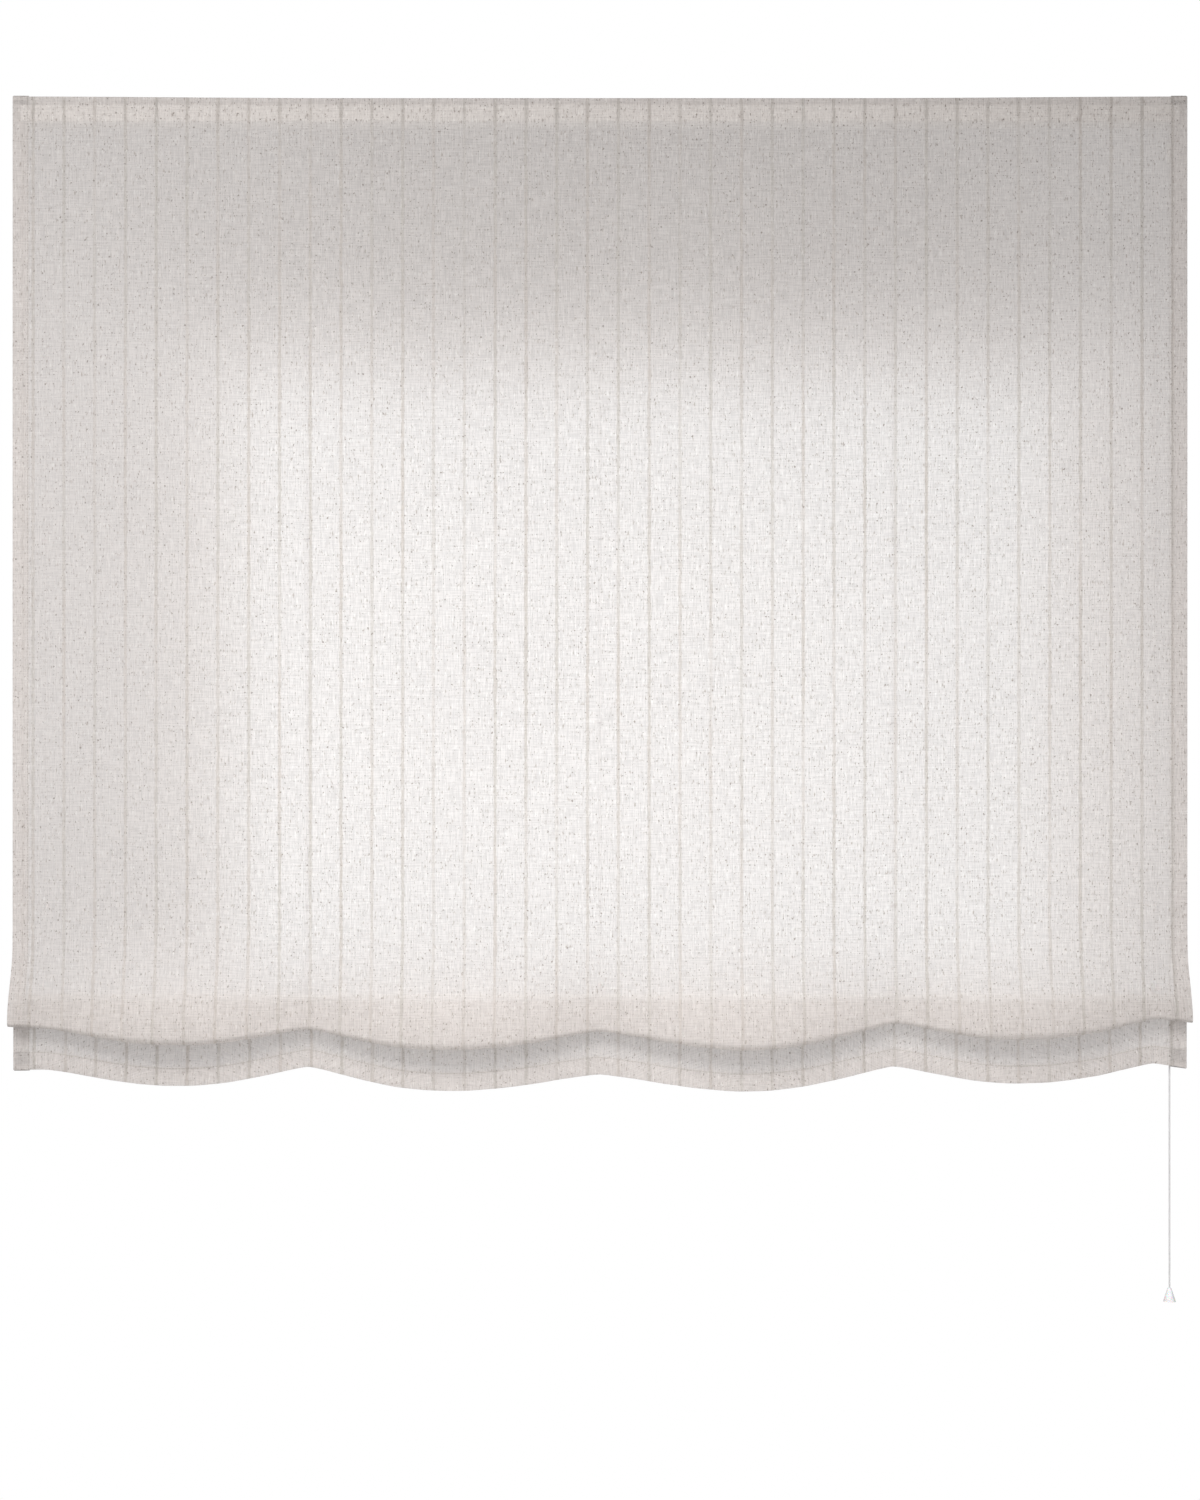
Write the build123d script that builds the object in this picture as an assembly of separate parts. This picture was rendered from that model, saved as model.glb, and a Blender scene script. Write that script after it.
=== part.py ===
from build123d import *
import math
import os

# Relaxed roman blind with a corded headrail, drawn a little way up.
#
# Frame: X runs along the headrail, Y points at the wall, Z is up. The origin is in the wall
# plane, at the height of the bracket screw holes, half way along the headrail. Millimetres.

# ---------------------------------------------------------------- driving sizes
CLOTH_WIDTH = 1600.0
CLOTH_THICKNESS = 1.5
CLOTH_TOP_Z = 19.5

HEADRAIL_END_INSET = 5.0  # the headrail is this much shorter than the cloth at each end
HEADRAIL_DEPTH = 26.0
HEADRAIL_HEIGHT = 27.0
HEADRAIL_WALL = 1.2
HEADRAIL_LIP = 5.2  # how far each top lip turns in from its wall
HEADRAIL_BACK_Y = -4.0
HEADRAIL_TOP_Z = 13.0

TAPE_HEIGHT = 22.0
TAPE_THICKNESS = 1.2
TAPE_END_INSET = 6.0  # headrail left bare beyond each end of the tape

RING_EDGE_INSET = 43.0  # from the side of the cloth to the outer line of rings
RING_INNER_X = 399.0  # from the middle line of rings to the next
RING_ROW_PITCH = 250.0
SECOND_ROW_ABOVE_FOLD = 128.0  # the second row of rings above the inner fold
RING_RADIUS = 5.5  # to the middle of the wire
RING_WIRE_RADIUS = 1.0
RING_PRESS = 0.3  # gap between a sewn ring and the cloth behind it

# The lowest row of rings is drawn up, so the cloth makes one fold over the front of its hem.
INNER_FOLD_DROP = 1229.0  # below the top of the cloth
FLAT_ABOVE_FOLD = 109.0  # the cloth hangs flat down to this height above the inner fold
# How far the front fold and the hem hang below the inner fold: at each ring column, in the
# middle of each bay between columns, and at the left and right sides of the cloth.
FRONT_FOLD_PEAKS = (37.0, 40.0, 42.0, 31.0, 25.0)
FRONT_FOLD_BELLIES = (59.0, 66.0, 66.0, 52.0)
FRONT_FOLD_SIDES = (36.0, 30.0)
HEM_PEAKS = (95.0, 92.0, 102.0, 91.0, 87.0)
HEM_BELLIES = (116.0, 123.0, 123.5, 113.0)
HEM_SIDES = (96.0, 93.0)

FOLD_FORWARD_PEAK = 9.0  # how far the front fold stands out at a ring column
FOLD_FORWARD_BELLY = 31.0  # and between two columns
FOLD_RADIUS_PEAK = 6.0
FOLD_RADIUS_BELLY = 11.0
HEM_FORWARD_BELLY = 12.0
INNER_FOLD_RADIUS = 4.0
SWAG_SHARPNESS = 0.6  # under 1 it narrows the peaks at the ring columns
FALL_LEANS = (0.5, 0.35)  # how long the front of the fold keeps its direction at its top and foot
RISE_LEANS = (0.4, 0.4)  # the same for the layer behind it
HANG_LEANS = (0.4, 0.3)  # the same for the hem layer
CURVE_STEPS = 8  # points along each curve or turn of the cloth's section
BAY_STEPS = 6  # sections of the cloth in each bay

ROD_RADIUS = 2.5
ROD_END_INSET = 8.0
POCKET_THICKNESS = 0.8
POCKET_EASE = 0.3  # between the rod and its pocket
POCKET_END_INSET = 4.0
ORB_RADIUS = 5.0
ORB_FLOOR = 1.0  # left between an orb's cord hole and the ring through it

LIFT_CORD_RADIUS = 0.6
LIFT_CORD_PITCH = 1.8  # between neighbouring cords inside the headrail
LANES_MIDDLE_Y = -15.0
CORD_RUNNING_GAP = 0.05
CORD_HOLE_GAP = 0.15
CORD_END_GAP = 0.2  # between a lift cord's end and the bottom of its orb's hole
CORD_LEAVES_RING = 20.0  # above the top ring a cord leans towards its lane
CORD_ENTERS_RAIL = 12.0  # and runs upright again this far below the headrail
LONG_BEND_SHARE = 0.45  # of the leaning run, which two bends share
END_BEND_SHARE = 0.9  # of the short run up to the roller

GUIDE_ROLLER_RADIUS = 5.0
LOCK_ROLLER_RADIUS = 4.0
ROLLER_WIDTH = 10.0
ROLLER_SIDE_GAP = 0.2
ROLLER_CHAMFER = 0.3
ROLLER_AXLE_Z = -3.0
AXLE_RADIUS = 1.25
AXLE_RUNNING_GAP = 0.05
AXLE_SEAT_GAP = 0.02
CHEEK_THICKNESS = 1.5
CHEEK_HALF_LENGTH = 4.0
CHEEK_ABOVE_AXLE = 2.2
CHEEK_UNDER_LIPS = 0.8
GUIDE_BASE_THICKNESS = 2.0
GUIDE_BEFORE_CORD = 8.0  # base length on the inner side of the rising cord
GUIDE_AFTER_CORD = 19.0
GUIDE_FIT = 0.2  # between an insert and the headrail walls
CORD_SLOT_LENGTH = 3.2
SPIGOT_WALL = 2.4
SPIGOT_DEPTH = 0.5  # below the headrail
CUT_BEYOND = 1.0  # how far a hole's cutter passes the face that it opens

PULL_FROM_END = 15.0  # from the end of the headrail to the pull cord
LOCK_AFTER_PULL = 6.0  # base length beyond the pull cord
PAWL_RADIUS = 2.6
PAWL_TRUNNION_RADIUS = 1.2
PAWL_SLOT_GAP = 0.1
PAWL_TRAVEL = 2.5
PAWL_SLOPE = 60.0  # degrees above the headrail's length
PAWL_BACK_SET = 2.0  # of the pawl from the top of the lock roller
PAWL_GROOVES = 14
PAWL_GROOVE = 0.45

BRACKET_FROM_END = 195.0  # from the end of the headrail to the outer bracket's middle
BRACKET_WIDTH = 34.0
BRACKET_THICKNESS = 2.0
BRACKET_DEPTH = 28.0
BRACKET_LEG_BOTTOM_Z = -12.0
SCREW_HOLE_RADIUS = 2.25
CEILING_HOLE_SET_X = -8.0  # from the middle of the bracket
RIVET_SET_X = 8.0
RIVET_RADIUS = 2.0
RIVET_HEAD_RADIUS = 4.0
RIVET_HEAD_HEIGHT = 1.0
CLAW_FROM_WALL = 1.2  # between the claw's tongue and the headrail's front wall
LEVER_GAP = 0.3
LEVER_THICKNESS = 1.5
LEVER_CAM_LENGTH = 20.0
LEVER_CAM_WIDTH = 11.0
LEVER_ARM_REACH = 14.3
LEVER_ARM_WIDTH = 9.0
LEVER_BOSS_RADIUS = 4.5
CLAW_WIDTH = 12.0

CAP_THICKNESS = 1.6
CAP_PLUG_LENGTH = 3.0
CAP_PLUG_WALL = 1.4

JOINER_TOP_Z = -38.0
JOINER_LENGTH = 26.0
JOINER_WIDTH = 10.6  # across the five lift cords
JOINER_DEPTH = 7.0
JOINER_TIP_RADIUS = 2.6
JOINER_GRIP = 5.0  # how far each cord goes in
JOINER_HEAD_SHARE = 0.45  # of its length, straight sided
JOINER_CORNER_SHARE = 0.4  # of its depth
JOINER_TIP_CORNER_SHARE = 0.96  # of the tip's radius

PULL_CORD_RADIUS = 1.15
TASSEL_BOTTOM_DROP = 1643.0  # below the top of the cloth
TASSEL_HEIGHT = 18.0
TASSEL_TOP_RADIUS = 2.6
TASSEL_RADIUS = 8.4
TASSEL_WALL = 1.2
TASSEL_ROOF = 3.0
PULL_KNOT_RADIUS = 2.0

# ---------------------------------------------------------------- worked out from them
HEADRAIL_FRONT_Y = HEADRAIL_BACK_Y - HEADRAIL_DEPTH
HEADRAIL_MIDDLE_Y = HEADRAIL_BACK_Y - HEADRAIL_DEPTH / 2
HEADRAIL_BOTTOM_Z = HEADRAIL_TOP_Z - HEADRAIL_HEIGHT
HEADRAIL_FLOOR_Z = HEADRAIL_BOTTOM_Z + HEADRAIL_WALL
HEADRAIL_END_X = CLOTH_WIDTH / 2 - HEADRAIL_END_INSET
BRACKET_OUTER_X = HEADRAIL_END_X - BRACKET_FROM_END
BRACKET_POSITIONS = (-BRACKET_OUTER_X, 0.0, BRACKET_OUTER_X)
RING_OUTER_X = CLOTH_WIDTH / 2 - RING_EDGE_INSET
RING_COLUMNS = (-RING_OUTER_X, -RING_INNER_X, 0.0, RING_INNER_X, RING_OUTER_X)
PULL_X = HEADRAIL_END_X - PULL_FROM_END
TAPE_MIDDLE_Z = HEADRAIL_TOP_Z - HEADRAIL_HEIGHT / 2
LOOP_TAPE_FRONT_Y = HEADRAIL_FRONT_Y - 2 * TAPE_THICKNESS
CLOTH_Y = LOOP_TAPE_FRONT_Y - CLOTH_THICKNESS / 2  # middle of the hanging cloth
RING_Y = LOOP_TAPE_FRONT_Y + RING_PRESS + RING_RADIUS + RING_WIRE_RADIUS
POCKET_RADIUS = ROD_RADIUS + POCKET_EASE + POCKET_THICKNESS
INNER_FOLD_Z = CLOTH_TOP_Z - INNER_FOLD_DROP
POCKET_Z = INNER_FOLD_Z + CLOTH_THICKNESS / 2 + RING_PRESS + POCKET_RADIUS
LOWEST_RING_Z = POCKET_Z + POCKET_RADIUS + RING_RADIUS + RING_WIRE_RADIUS
ORB_Z = LOWEST_RING_Z + RING_RADIUS
ROLLER_Y = LANES_MIDDLE_Y
CORD_RUN_Z = ROLLER_AXLE_Z + GUIDE_ROLLER_RADIUS + CORD_RUNNING_GAP + LIFT_CORD_RADIUS
GUIDE_BEND = GUIDE_ROLLER_RADIUS + CORD_RUNNING_GAP + LIFT_CORD_RADIUS
LOCK_BEND = LOCK_ROLLER_RADIUS + CORD_RUNNING_GAP + LIFT_CORD_RADIUS
LOCK_AXLE_Z = CORD_RUN_Z - LOCK_BEND
LOCK_ENTRY_X = RING_COLUMNS[-1] + LOCK_BEND
LOCK_EXIT_X = PULL_X - LOCK_BEND
PAWL_X = LOCK_EXIT_X - PAWL_BACK_SET
PAWL_Z = CORD_RUN_Z + LIFT_CORD_RADIUS + 2 * CORD_RUNNING_GAP + PAWL_RADIUS
CHEEK_OUTER_Y = ROLLER_WIDTH / 2 + ROLLER_SIDE_GAP + CHEEK_THICKNESS  # from the roller's middle
LEVER_CAM_Z = HEADRAIL_TOP_Z - HEADRAIL_WALL - LEVER_GAP - LEVER_THICKNESS
LEVER_ARM_Z = HEADRAIL_TOP_Z + LEVER_GAP
BRACKET_TOP_LEG_Z = LEVER_ARM_Z + LEVER_THICKNESS + LEVER_GAP
JOINER_BOTTOM_Z = JOINER_TOP_Z - JOINER_LENGTH
TASSEL_BOTTOM_Z = CLOTH_TOP_Z - TASSEL_BOTTOM_DROP
TASSEL_TOP_Z = TASSEL_BOTTOM_Z + TASSEL_HEIGHT
ROWS_ABOVE_LOWEST = 4
ROW_HEIGHTS = [
    INNER_FOLD_Z + SECOND_ROW_ABOVE_FOLD + RING_ROW_PITCH * row for row in range(ROWS_ABOVE_LOWEST)
]


# ---------------------------------------------------------------- small helpers
def block(x, y, z):
    """A box between three pairs of limits."""
    size = [high - low for low, high in (x, y, z)]
    middle = [(high + low) / 2 for low, high in (x, y, z)]
    return Pos(*middle) * Box(*size)


def bar(start, direction, length, radius):
    """A round bar from a point along a direction."""
    seat = Plane(origin=start, z_dir=direction)
    return seat * Cylinder(radius, length, align=(Align.CENTER, Align.CENTER, Align.MIN))


def lane_y(column):
    """Where the cord of one ring column lies across the headrail."""
    return LANES_MIDDLE_Y + (2 - column) * LIFT_CORD_PITCH


# ---------------------------------------------------------------- headrail and its fixings
def cord_slot(x, extra=0.0):
    """The slot in a floor through which cords at x pass."""
    half = CORD_SLOT_LENGTH / 2 + extra
    across = ROLLER_WIDTH / 2 + extra
    bottom = HEADRAIL_BOTTOM_Z - SPIGOT_DEPTH - CUT_BEYOND
    top = HEADRAIL_FLOOR_Z + GUIDE_BASE_THICKNESS + CUT_BEYOND
    return block((x - half, x + half), (ROLLER_Y - across, ROLLER_Y + across), (bottom, top))


def make_headrail():
    """An open-topped channel with inward lips and a floor slot at every cord line."""
    ends = (-HEADRAIL_END_X, HEADRAIL_END_X)
    wall = HEADRAIL_WALL
    outer = block(ends, (HEADRAIL_FRONT_Y, HEADRAIL_BACK_Y), (HEADRAIL_BOTTOM_Z, HEADRAIL_TOP_Z))
    hollow = block(
        ends,
        (HEADRAIL_FRONT_Y + wall, HEADRAIL_BACK_Y - wall),
        (HEADRAIL_FLOOR_Z, HEADRAIL_TOP_Z - wall),
    )
    lip = wall + HEADRAIL_LIP
    mouth = block(
        ends,
        (HEADRAIL_FRONT_Y + lip, HEADRAIL_BACK_Y - lip),
        (HEADRAIL_FLOOR_Z, HEADRAIL_TOP_Z + wall),
    )
    rail = outer - hollow - mouth
    for x in RING_COLUMNS + (PULL_X,):
        rail = rail - cord_slot(x, SPIGOT_WALL / 2 + GUIDE_FIT)
    return rail


def make_end_cap(side):
    """A moulded cap with a plug that grips inside the headrail. side is -1 or 1."""
    end = side * HEADRAIL_END_X
    outside = sorted((end, end + side * CAP_THICKNESS))
    inside = sorted((end, end - side * CAP_PLUG_LENGTH))
    plate = block(outside, (HEADRAIL_FRONT_Y, HEADRAIL_BACK_Y), (HEADRAIL_BOTTOM_Z, HEADRAIL_TOP_Z))
    gap = HEADRAIL_WALL + GUIDE_FIT
    plug_y = (HEADRAIL_FRONT_Y + gap, HEADRAIL_BACK_Y - gap)
    plug_z = (HEADRAIL_BOTTOM_Z + gap, HEADRAIL_TOP_Z - gap)
    plug = block(inside, plug_y, plug_z)
    core = block(
        inside,
        (plug_y[0] + CAP_PLUG_WALL, plug_y[1] - CAP_PLUG_WALL),
        (plug_z[0] + CAP_PLUG_WALL, plug_z[1] - CAP_PLUG_WALL),
    )
    return plate + (plug - core)


def make_bracket(x):
    """A bent steel bracket: wall leg, top leg and a claw under the headrail's front lip."""
    width = (x - BRACKET_WIDTH / 2, x + BRACKET_WIDTH / 2)
    top = BRACKET_TOP_LEG_Z + BRACKET_THICKNESS
    wall_leg = block(width, (-BRACKET_THICKNESS, 0), (BRACKET_LEG_BOTTOM_Z, top))
    top_leg = block(width, (-BRACKET_DEPTH, 0), (BRACKET_TOP_LEG_Z, top))
    lip_edge = HEADRAIL_FRONT_Y + HEADRAIL_WALL + HEADRAIL_LIP
    claw_x = (width[0], width[0] + CLAW_WIDTH)
    claw_y = lip_edge + LEVER_GAP
    drop = block(claw_x, (claw_y, claw_y + LEVER_THICKNESS), (LEVER_CAM_Z, BRACKET_TOP_LEG_Z))
    tongue = block(
        claw_x,
        (HEADRAIL_FRONT_Y + HEADRAIL_WALL + CLAW_FROM_WALL, claw_y + LEVER_THICKNESS),
        (LEVER_CAM_Z, LEVER_CAM_Z + LEVER_THICKNESS),
    )
    bracket = wall_leg + top_leg + drop + tongue
    wall_hole = (x, -BRACKET_THICKNESS - CUT_BEYOND, 0)
    ceiling_hole = (x + CEILING_HOLE_SET_X, HEADRAIL_MIDDLE_Y, BRACKET_TOP_LEG_Z - CUT_BEYOND)
    rivet_hole = (x + RIVET_SET_X, HEADRAIL_MIDDLE_Y, BRACKET_TOP_LEG_Z - CUT_BEYOND)
    through = BRACKET_THICKNESS + 2 * CUT_BEYOND
    bracket = bracket - bar(wall_hole, (0, 1, 0), through, SCREW_HOLE_RADIUS)
    bracket = bracket - bar(ceiling_hole, (0, 0, 1), through, SCREW_HOLE_RADIUS)
    bracket = bracket - bar(rivet_hole, (0, 0, 1), through, RIVET_RADIUS + AXLE_SEAT_GAP)
    return bracket


def make_lever(x):
    """The swivel lever: a cam plate under both lips, a boss through the mouth and a finger arm."""
    turn_x = x + RIVET_SET_X
    y = HEADRAIL_MIDDLE_Y
    half_width = LEVER_CAM_WIDTH / 2
    half_length = LEVER_CAM_LENGTH / 2
    cam = block(
        (turn_x - half_width, turn_x + half_width),
        (y - half_length, y + half_length),
        (LEVER_CAM_Z, LEVER_CAM_Z + LEVER_THICKNESS),
    )
    boss_height = LEVER_ARM_Z + LEVER_THICKNESS - LEVER_CAM_Z
    boss = bar((turn_x, y, LEVER_CAM_Z), (0, 0, 1), boss_height, LEVER_BOSS_RADIUS)
    tip_radius = LEVER_ARM_WIDTH / 2
    tip_x = turn_x + LEVER_ARM_REACH - tip_radius
    arm_z = (LEVER_ARM_Z, LEVER_ARM_Z + LEVER_THICKNESS)
    arm = block((turn_x, tip_x), (y - tip_radius, y + tip_radius), arm_z)
    tip = bar((tip_x, y, LEVER_ARM_Z), (0, 0, 1), LEVER_THICKNESS, tip_radius)
    hole_start = (turn_x, y, LEVER_CAM_Z - CUT_BEYOND)
    hole_length = boss_height + 2 * CUT_BEYOND
    hole = bar(hole_start, (0, 0, 1), hole_length, RIVET_RADIUS + AXLE_RUNNING_GAP)
    return cam + boss + arm + tip - hole


def make_rivet(x):
    """The rivet on which a lever swivels, flush with the bracket's top."""
    place = (x + RIVET_SET_X, HEADRAIL_MIDDLE_Y)
    head_top = LEVER_CAM_Z - GUIDE_FIT
    top = BRACKET_TOP_LEG_Z + BRACKET_THICKNESS
    shank = bar((*place, head_top), (0, 0, 1), top - head_top, RIVET_RADIUS)
    head_start = (*place, head_top - RIVET_HEAD_HEIGHT)
    head = bar(head_start, (0, 0, 1), RIVET_HEAD_HEIGHT, RIVET_HEAD_RADIUS)
    return shank + head


def make_tape(front_y):
    """One half of the touch tape along the headrail, with its front face at front_y."""
    half = HEADRAIL_END_X - TAPE_END_INSET
    height = (TAPE_MIDDLE_Z - TAPE_HEIGHT / 2, TAPE_MIDDLE_Z + TAPE_HEIGHT / 2)
    return block((-half, half), (front_y, front_y + TAPE_THICKNESS), height)


# ---------------------------------------------------------------- cord guides and cord lock
def insert_base(x_low, x_high, slots):
    """The base of a moulded insert, with a spigot through the headrail floor at each slot."""
    y_low = HEADRAIL_FRONT_Y + HEADRAIL_WALL + GUIDE_FIT
    y_high = HEADRAIL_BACK_Y - HEADRAIL_WALL - GUIDE_FIT
    top = HEADRAIL_FLOOR_Z + GUIDE_BASE_THICKNESS
    base = block((x_low, x_high), (y_low, y_high), (HEADRAIL_FLOOR_Z, top))
    for x in slots:
        half = (CORD_SLOT_LENGTH + SPIGOT_WALL) / 2
        across = (ROLLER_WIDTH + SPIGOT_WALL) / 2
        depth = (HEADRAIL_BOTTOM_Z - SPIGOT_DEPTH, HEADRAIL_FLOOR_Z)
        base = base + block((x - half, x + half), (ROLLER_Y - across, ROLLER_Y + across), depth)
    for x in slots:
        base = base - cord_slot(x)
    return base


def cheek_pair(x_low, x_high, top):
    """The two upright cheeks that carry the rollers of an insert."""
    inner = CHEEK_OUTER_Y - CHEEK_THICKNESS
    height = (HEADRAIL_FLOOR_Z + GUIDE_BASE_THICKNESS, top)
    front = block((x_low, x_high), (ROLLER_Y - CHEEK_OUTER_Y, ROLLER_Y - inner), height)
    back = block((x_low, x_high), (ROLLER_Y + inner, ROLLER_Y + CHEEK_OUTER_Y), height)
    return front + back


def axle(x, z, radius):
    """A bar across both cheeks."""
    return bar((x, ROLLER_Y - CHEEK_OUTER_Y, z), (0, 1, 0), 2 * CHEEK_OUTER_Y, radius)


def make_roller(x, z, radius):
    """A plain roller with a running bore and eased edges."""
    start = (x, ROLLER_Y - ROLLER_WIDTH / 2, z)
    body = bar(start, (0, 1, 0), ROLLER_WIDTH, radius)
    body = chamfer(body.edges().filter_by(GeomType.CIRCLE), ROLLER_CHAMFER)
    return body - bar(start, (0, 1, 0), ROLLER_WIDTH, AXLE_RADIUS + AXLE_RUNNING_GAP)


def make_guide(column_x):
    """A cord guide: the cord rises through its slot and turns over its roller."""
    roller_x = column_x + GUIDE_BEND
    base = insert_base(column_x - GUIDE_BEFORE_CORD, column_x + GUIDE_AFTER_CORD, [column_x])
    cheek_top = ROLLER_AXLE_Z + AXLE_RADIUS + CHEEK_ABOVE_AXLE
    cheeks = cheek_pair(roller_x - CHEEK_HALF_LENGTH, roller_x + CHEEK_HALF_LENGTH, cheek_top)
    guide = base + cheeks
    return guide - axle(roller_x, ROLLER_AXLE_Z, AXLE_RADIUS + AXLE_SEAT_GAP)


def pawl_slot():
    """The sloping slot in which the pawl's trunnions rise."""
    radius = PAWL_TRUNNION_RADIUS + PAWL_SLOT_GAP
    slope = math.radians(PAWL_SLOPE)
    top_x = PAWL_X - PAWL_TRAVEL * math.cos(slope)
    top_z = PAWL_Z + PAWL_TRAVEL * math.sin(slope)
    ends = axle(PAWL_X, PAWL_Z, radius) + axle(top_x, top_z, radius)
    width = Pos(-PAWL_TRAVEL / 2, 0) * Rectangle(PAWL_TRAVEL, 2 * radius)
    seat = Plane(
        origin=(PAWL_X, ROLLER_Y - CHEEK_OUTER_Y, PAWL_Z),
        x_dir=(math.cos(slope), 0, -math.sin(slope)),
        z_dir=(0, 1, 0),
    )
    return ends + extrude(seat * width, 2 * CHEEK_OUTER_Y)


def make_lock_housing():
    """The cord lock: two fixed rollers between cheeks that are slotted for the pawl."""
    x_low = RING_COLUMNS[-1] - GUIDE_BEFORE_CORD
    x_high = PULL_X + LOCK_AFTER_PULL
    base = insert_base(x_low, x_high, [RING_COLUMNS[-1], PULL_X])
    cheek_top = HEADRAIL_TOP_Z - HEADRAIL_WALL - CHEEK_UNDER_LIPS
    cheeks = cheek_pair(LOCK_ENTRY_X - CHEEK_HALF_LENGTH, LOCK_EXIT_X + CHEEK_HALF_LENGTH, cheek_top)
    housing = base + cheeks
    for x in (LOCK_ENTRY_X, LOCK_EXIT_X):
        housing = housing - axle(x, LOCK_AXLE_Z, AXLE_RADIUS + AXLE_SEAT_GAP)
    return housing - pawl_slot()


def make_pawl():
    """The knurled pawl that drops on the cords and holds them against the lock roller."""
    start = (PAWL_X, ROLLER_Y - ROLLER_WIDTH / 2, PAWL_Z)
    body = bar(start, (0, 1, 0), ROLLER_WIDTH, PAWL_RADIUS)
    for groove in range(PAWL_GROOVES):
        angle = math.radians(360 * (groove + 0.5) / PAWL_GROOVES)
        x = PAWL_X + PAWL_RADIUS * math.cos(angle)
        z = PAWL_Z + PAWL_RADIUS * math.sin(angle)
        body = body - bar((x, start[1], z), (0, 1, 0), ROLLER_WIDTH, PAWL_GROOVE / 2)
    return body + axle(PAWL_X, PAWL_Z, PAWL_TRUNNION_RADIUS)


# ---------------------------------------------------------------- cloth
def bay_of(x):
    """The bay that x lies in, and how far across it, from 0 to 1."""
    for bay in range(len(RING_COLUMNS) - 1):
        left, right = RING_COLUMNS[bay], RING_COLUMNS[bay + 1]
        if left <= x <= right:
            return bay, (x - left) / (right - left)
    return None, 0.0


def swag(x):
    """How far the cloth has swagged at x: 0 at a ring column, 1 half way to the next."""
    bay, share = bay_of(x)
    if bay is None:
        return 0.0
    return (0.5 - 0.5 * math.cos(2 * math.pi * share)) ** SWAG_SHARPNESS


def depth_at(x, peaks, bellies, sides):
    """How far below the inner fold an edge with these peaks and bellies hangs at x."""
    bay, share = bay_of(x)
    if bay is None:
        out = (abs(x) - RING_OUTER_X) / RING_EDGE_INSET
        peak, side = (peaks[0], sides[0]) if x < 0 else (peaks[-1], sides[-1])
        return peak + (side - peak) * out
    peak = peaks[bay] + (peaks[bay + 1] - peaks[bay]) * share
    return peak + (bellies[bay] - peak) * swag(x)


def upright_curve(start, end, leans):
    """Points along a cubic curve that is upright at both ends, without its last one."""
    height = end[1] - start[1]
    lean_start = (start[0], start[1] + leans[0] * height)
    lean_end = (end[0], end[1] - leans[1] * height)
    points = []
    for step in range(CURVE_STEPS):
        t = step / CURVE_STEPS
        s = 1 - t
        weights = (s**3, 3 * s * s * t, 3 * s * t * t, t**3)
        corners = (start, lean_start, lean_end, end)
        points.append(tuple(sum(w * c[i] for w, c in zip(weights, corners)) for i in (0, 1)))
    return points


def turn(middle_y, middle_z, radius, upward):
    """Points of a half turn from the front to the back, below or above its middle."""
    sign = 1 if upward else -1
    angles = [math.pi * (1 - step / CURVE_STEPS) for step in range(CURVE_STEPS)]
    return [
        (middle_y + radius * math.cos(a), middle_z + sign * radius * math.sin(a)) for a in angles
    ]


def fold_line(x):
    """The middle of the cloth's thickness at x, from where it leaves the flat to its hem."""
    share = swag(x)
    fold_z = INNER_FOLD_Z - depth_at(x, FRONT_FOLD_PEAKS, FRONT_FOLD_BELLIES, FRONT_FOLD_SIDES)
    hem_z = INNER_FOLD_Z - depth_at(x, HEM_PEAKS, HEM_BELLIES, HEM_SIDES)
    start_z = INNER_FOLD_Z + FLAT_ABOVE_FOLD
    forward = FOLD_FORWARD_PEAK + (FOLD_FORWARD_BELLY - FOLD_FORWARD_PEAK) * share
    radius = FOLD_RADIUS_PEAK + (FOLD_RADIUS_BELLY - FOLD_RADIUS_PEAK) * share
    front_y = CLOTH_Y - forward
    back_y = front_y + 2 * radius
    low_z = fold_z + radius
    inner_z = INNER_FOLD_Z - INNER_FOLD_RADIUS
    rise_y = RING_Y - INNER_FOLD_RADIUS
    hang_y = RING_Y + INNER_FOLD_RADIUS
    hem_y = hang_y - HEM_FORWARD_BELLY * share
    line = upright_curve((CLOTH_Y, start_z), (front_y, low_z), FALL_LEANS)
    line += turn(front_y + radius, low_z, radius, False)
    line += upright_curve((back_y, low_z), (rise_y, inner_z), RISE_LEANS)
    line += turn(RING_Y, inner_z, INNER_FOLD_RADIUS, True)
    line += upright_curve((hang_y, inner_z), (hem_y, hem_z), HANG_LEANS)
    return line + [(hem_y, hem_z)]


def offset_line(line, distance):
    """A line moved sideways, to the left of its direction."""
    moved = []
    for i, (y, z) in enumerate(line):
        before = line[max(i - 1, 0)]
        after = line[min(i + 1, len(line) - 1)]
        dy, dz = after[0] - before[0], after[1] - before[1]
        length = math.hypot(dy, dz)
        moved.append((y - dz / length * distance, z + dy / length * distance))
    return moved


def cloth_section(x):
    """The folded section of the cloth at x, as a face across the width."""
    line = fold_line(x)
    half = CLOTH_THICKNESS / 2
    room_side = offset_line(line, -half)
    wall_side = offset_line(line, half)
    top_room = (CLOTH_Y - half, CLOTH_TOP_Z)
    top_wall = (CLOTH_Y + half, CLOTH_TOP_Z)
    outline = [
        Line(top_room, room_side[0]),
        Spline(*room_side),
        Line(room_side[-1], wall_side[-1]),
        Spline(*reversed(wall_side)),
        Line(wall_side[0], top_wall),
        Line(top_wall, top_room),
    ]
    return Plane.YZ.offset(x) * make_face(Curve() + outline)


def cloth_stations():
    """Places across the width where the cloth's section is drawn."""
    stations = [-CLOTH_WIDTH / 2]
    for left, right in zip(RING_COLUMNS, RING_COLUMNS[1:]):
        stations += [left + (right - left) * step / BAY_STEPS for step in range(BAY_STEPS)]
    return stations + [RING_COLUMNS[-1], CLOTH_WIDTH / 2]


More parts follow.
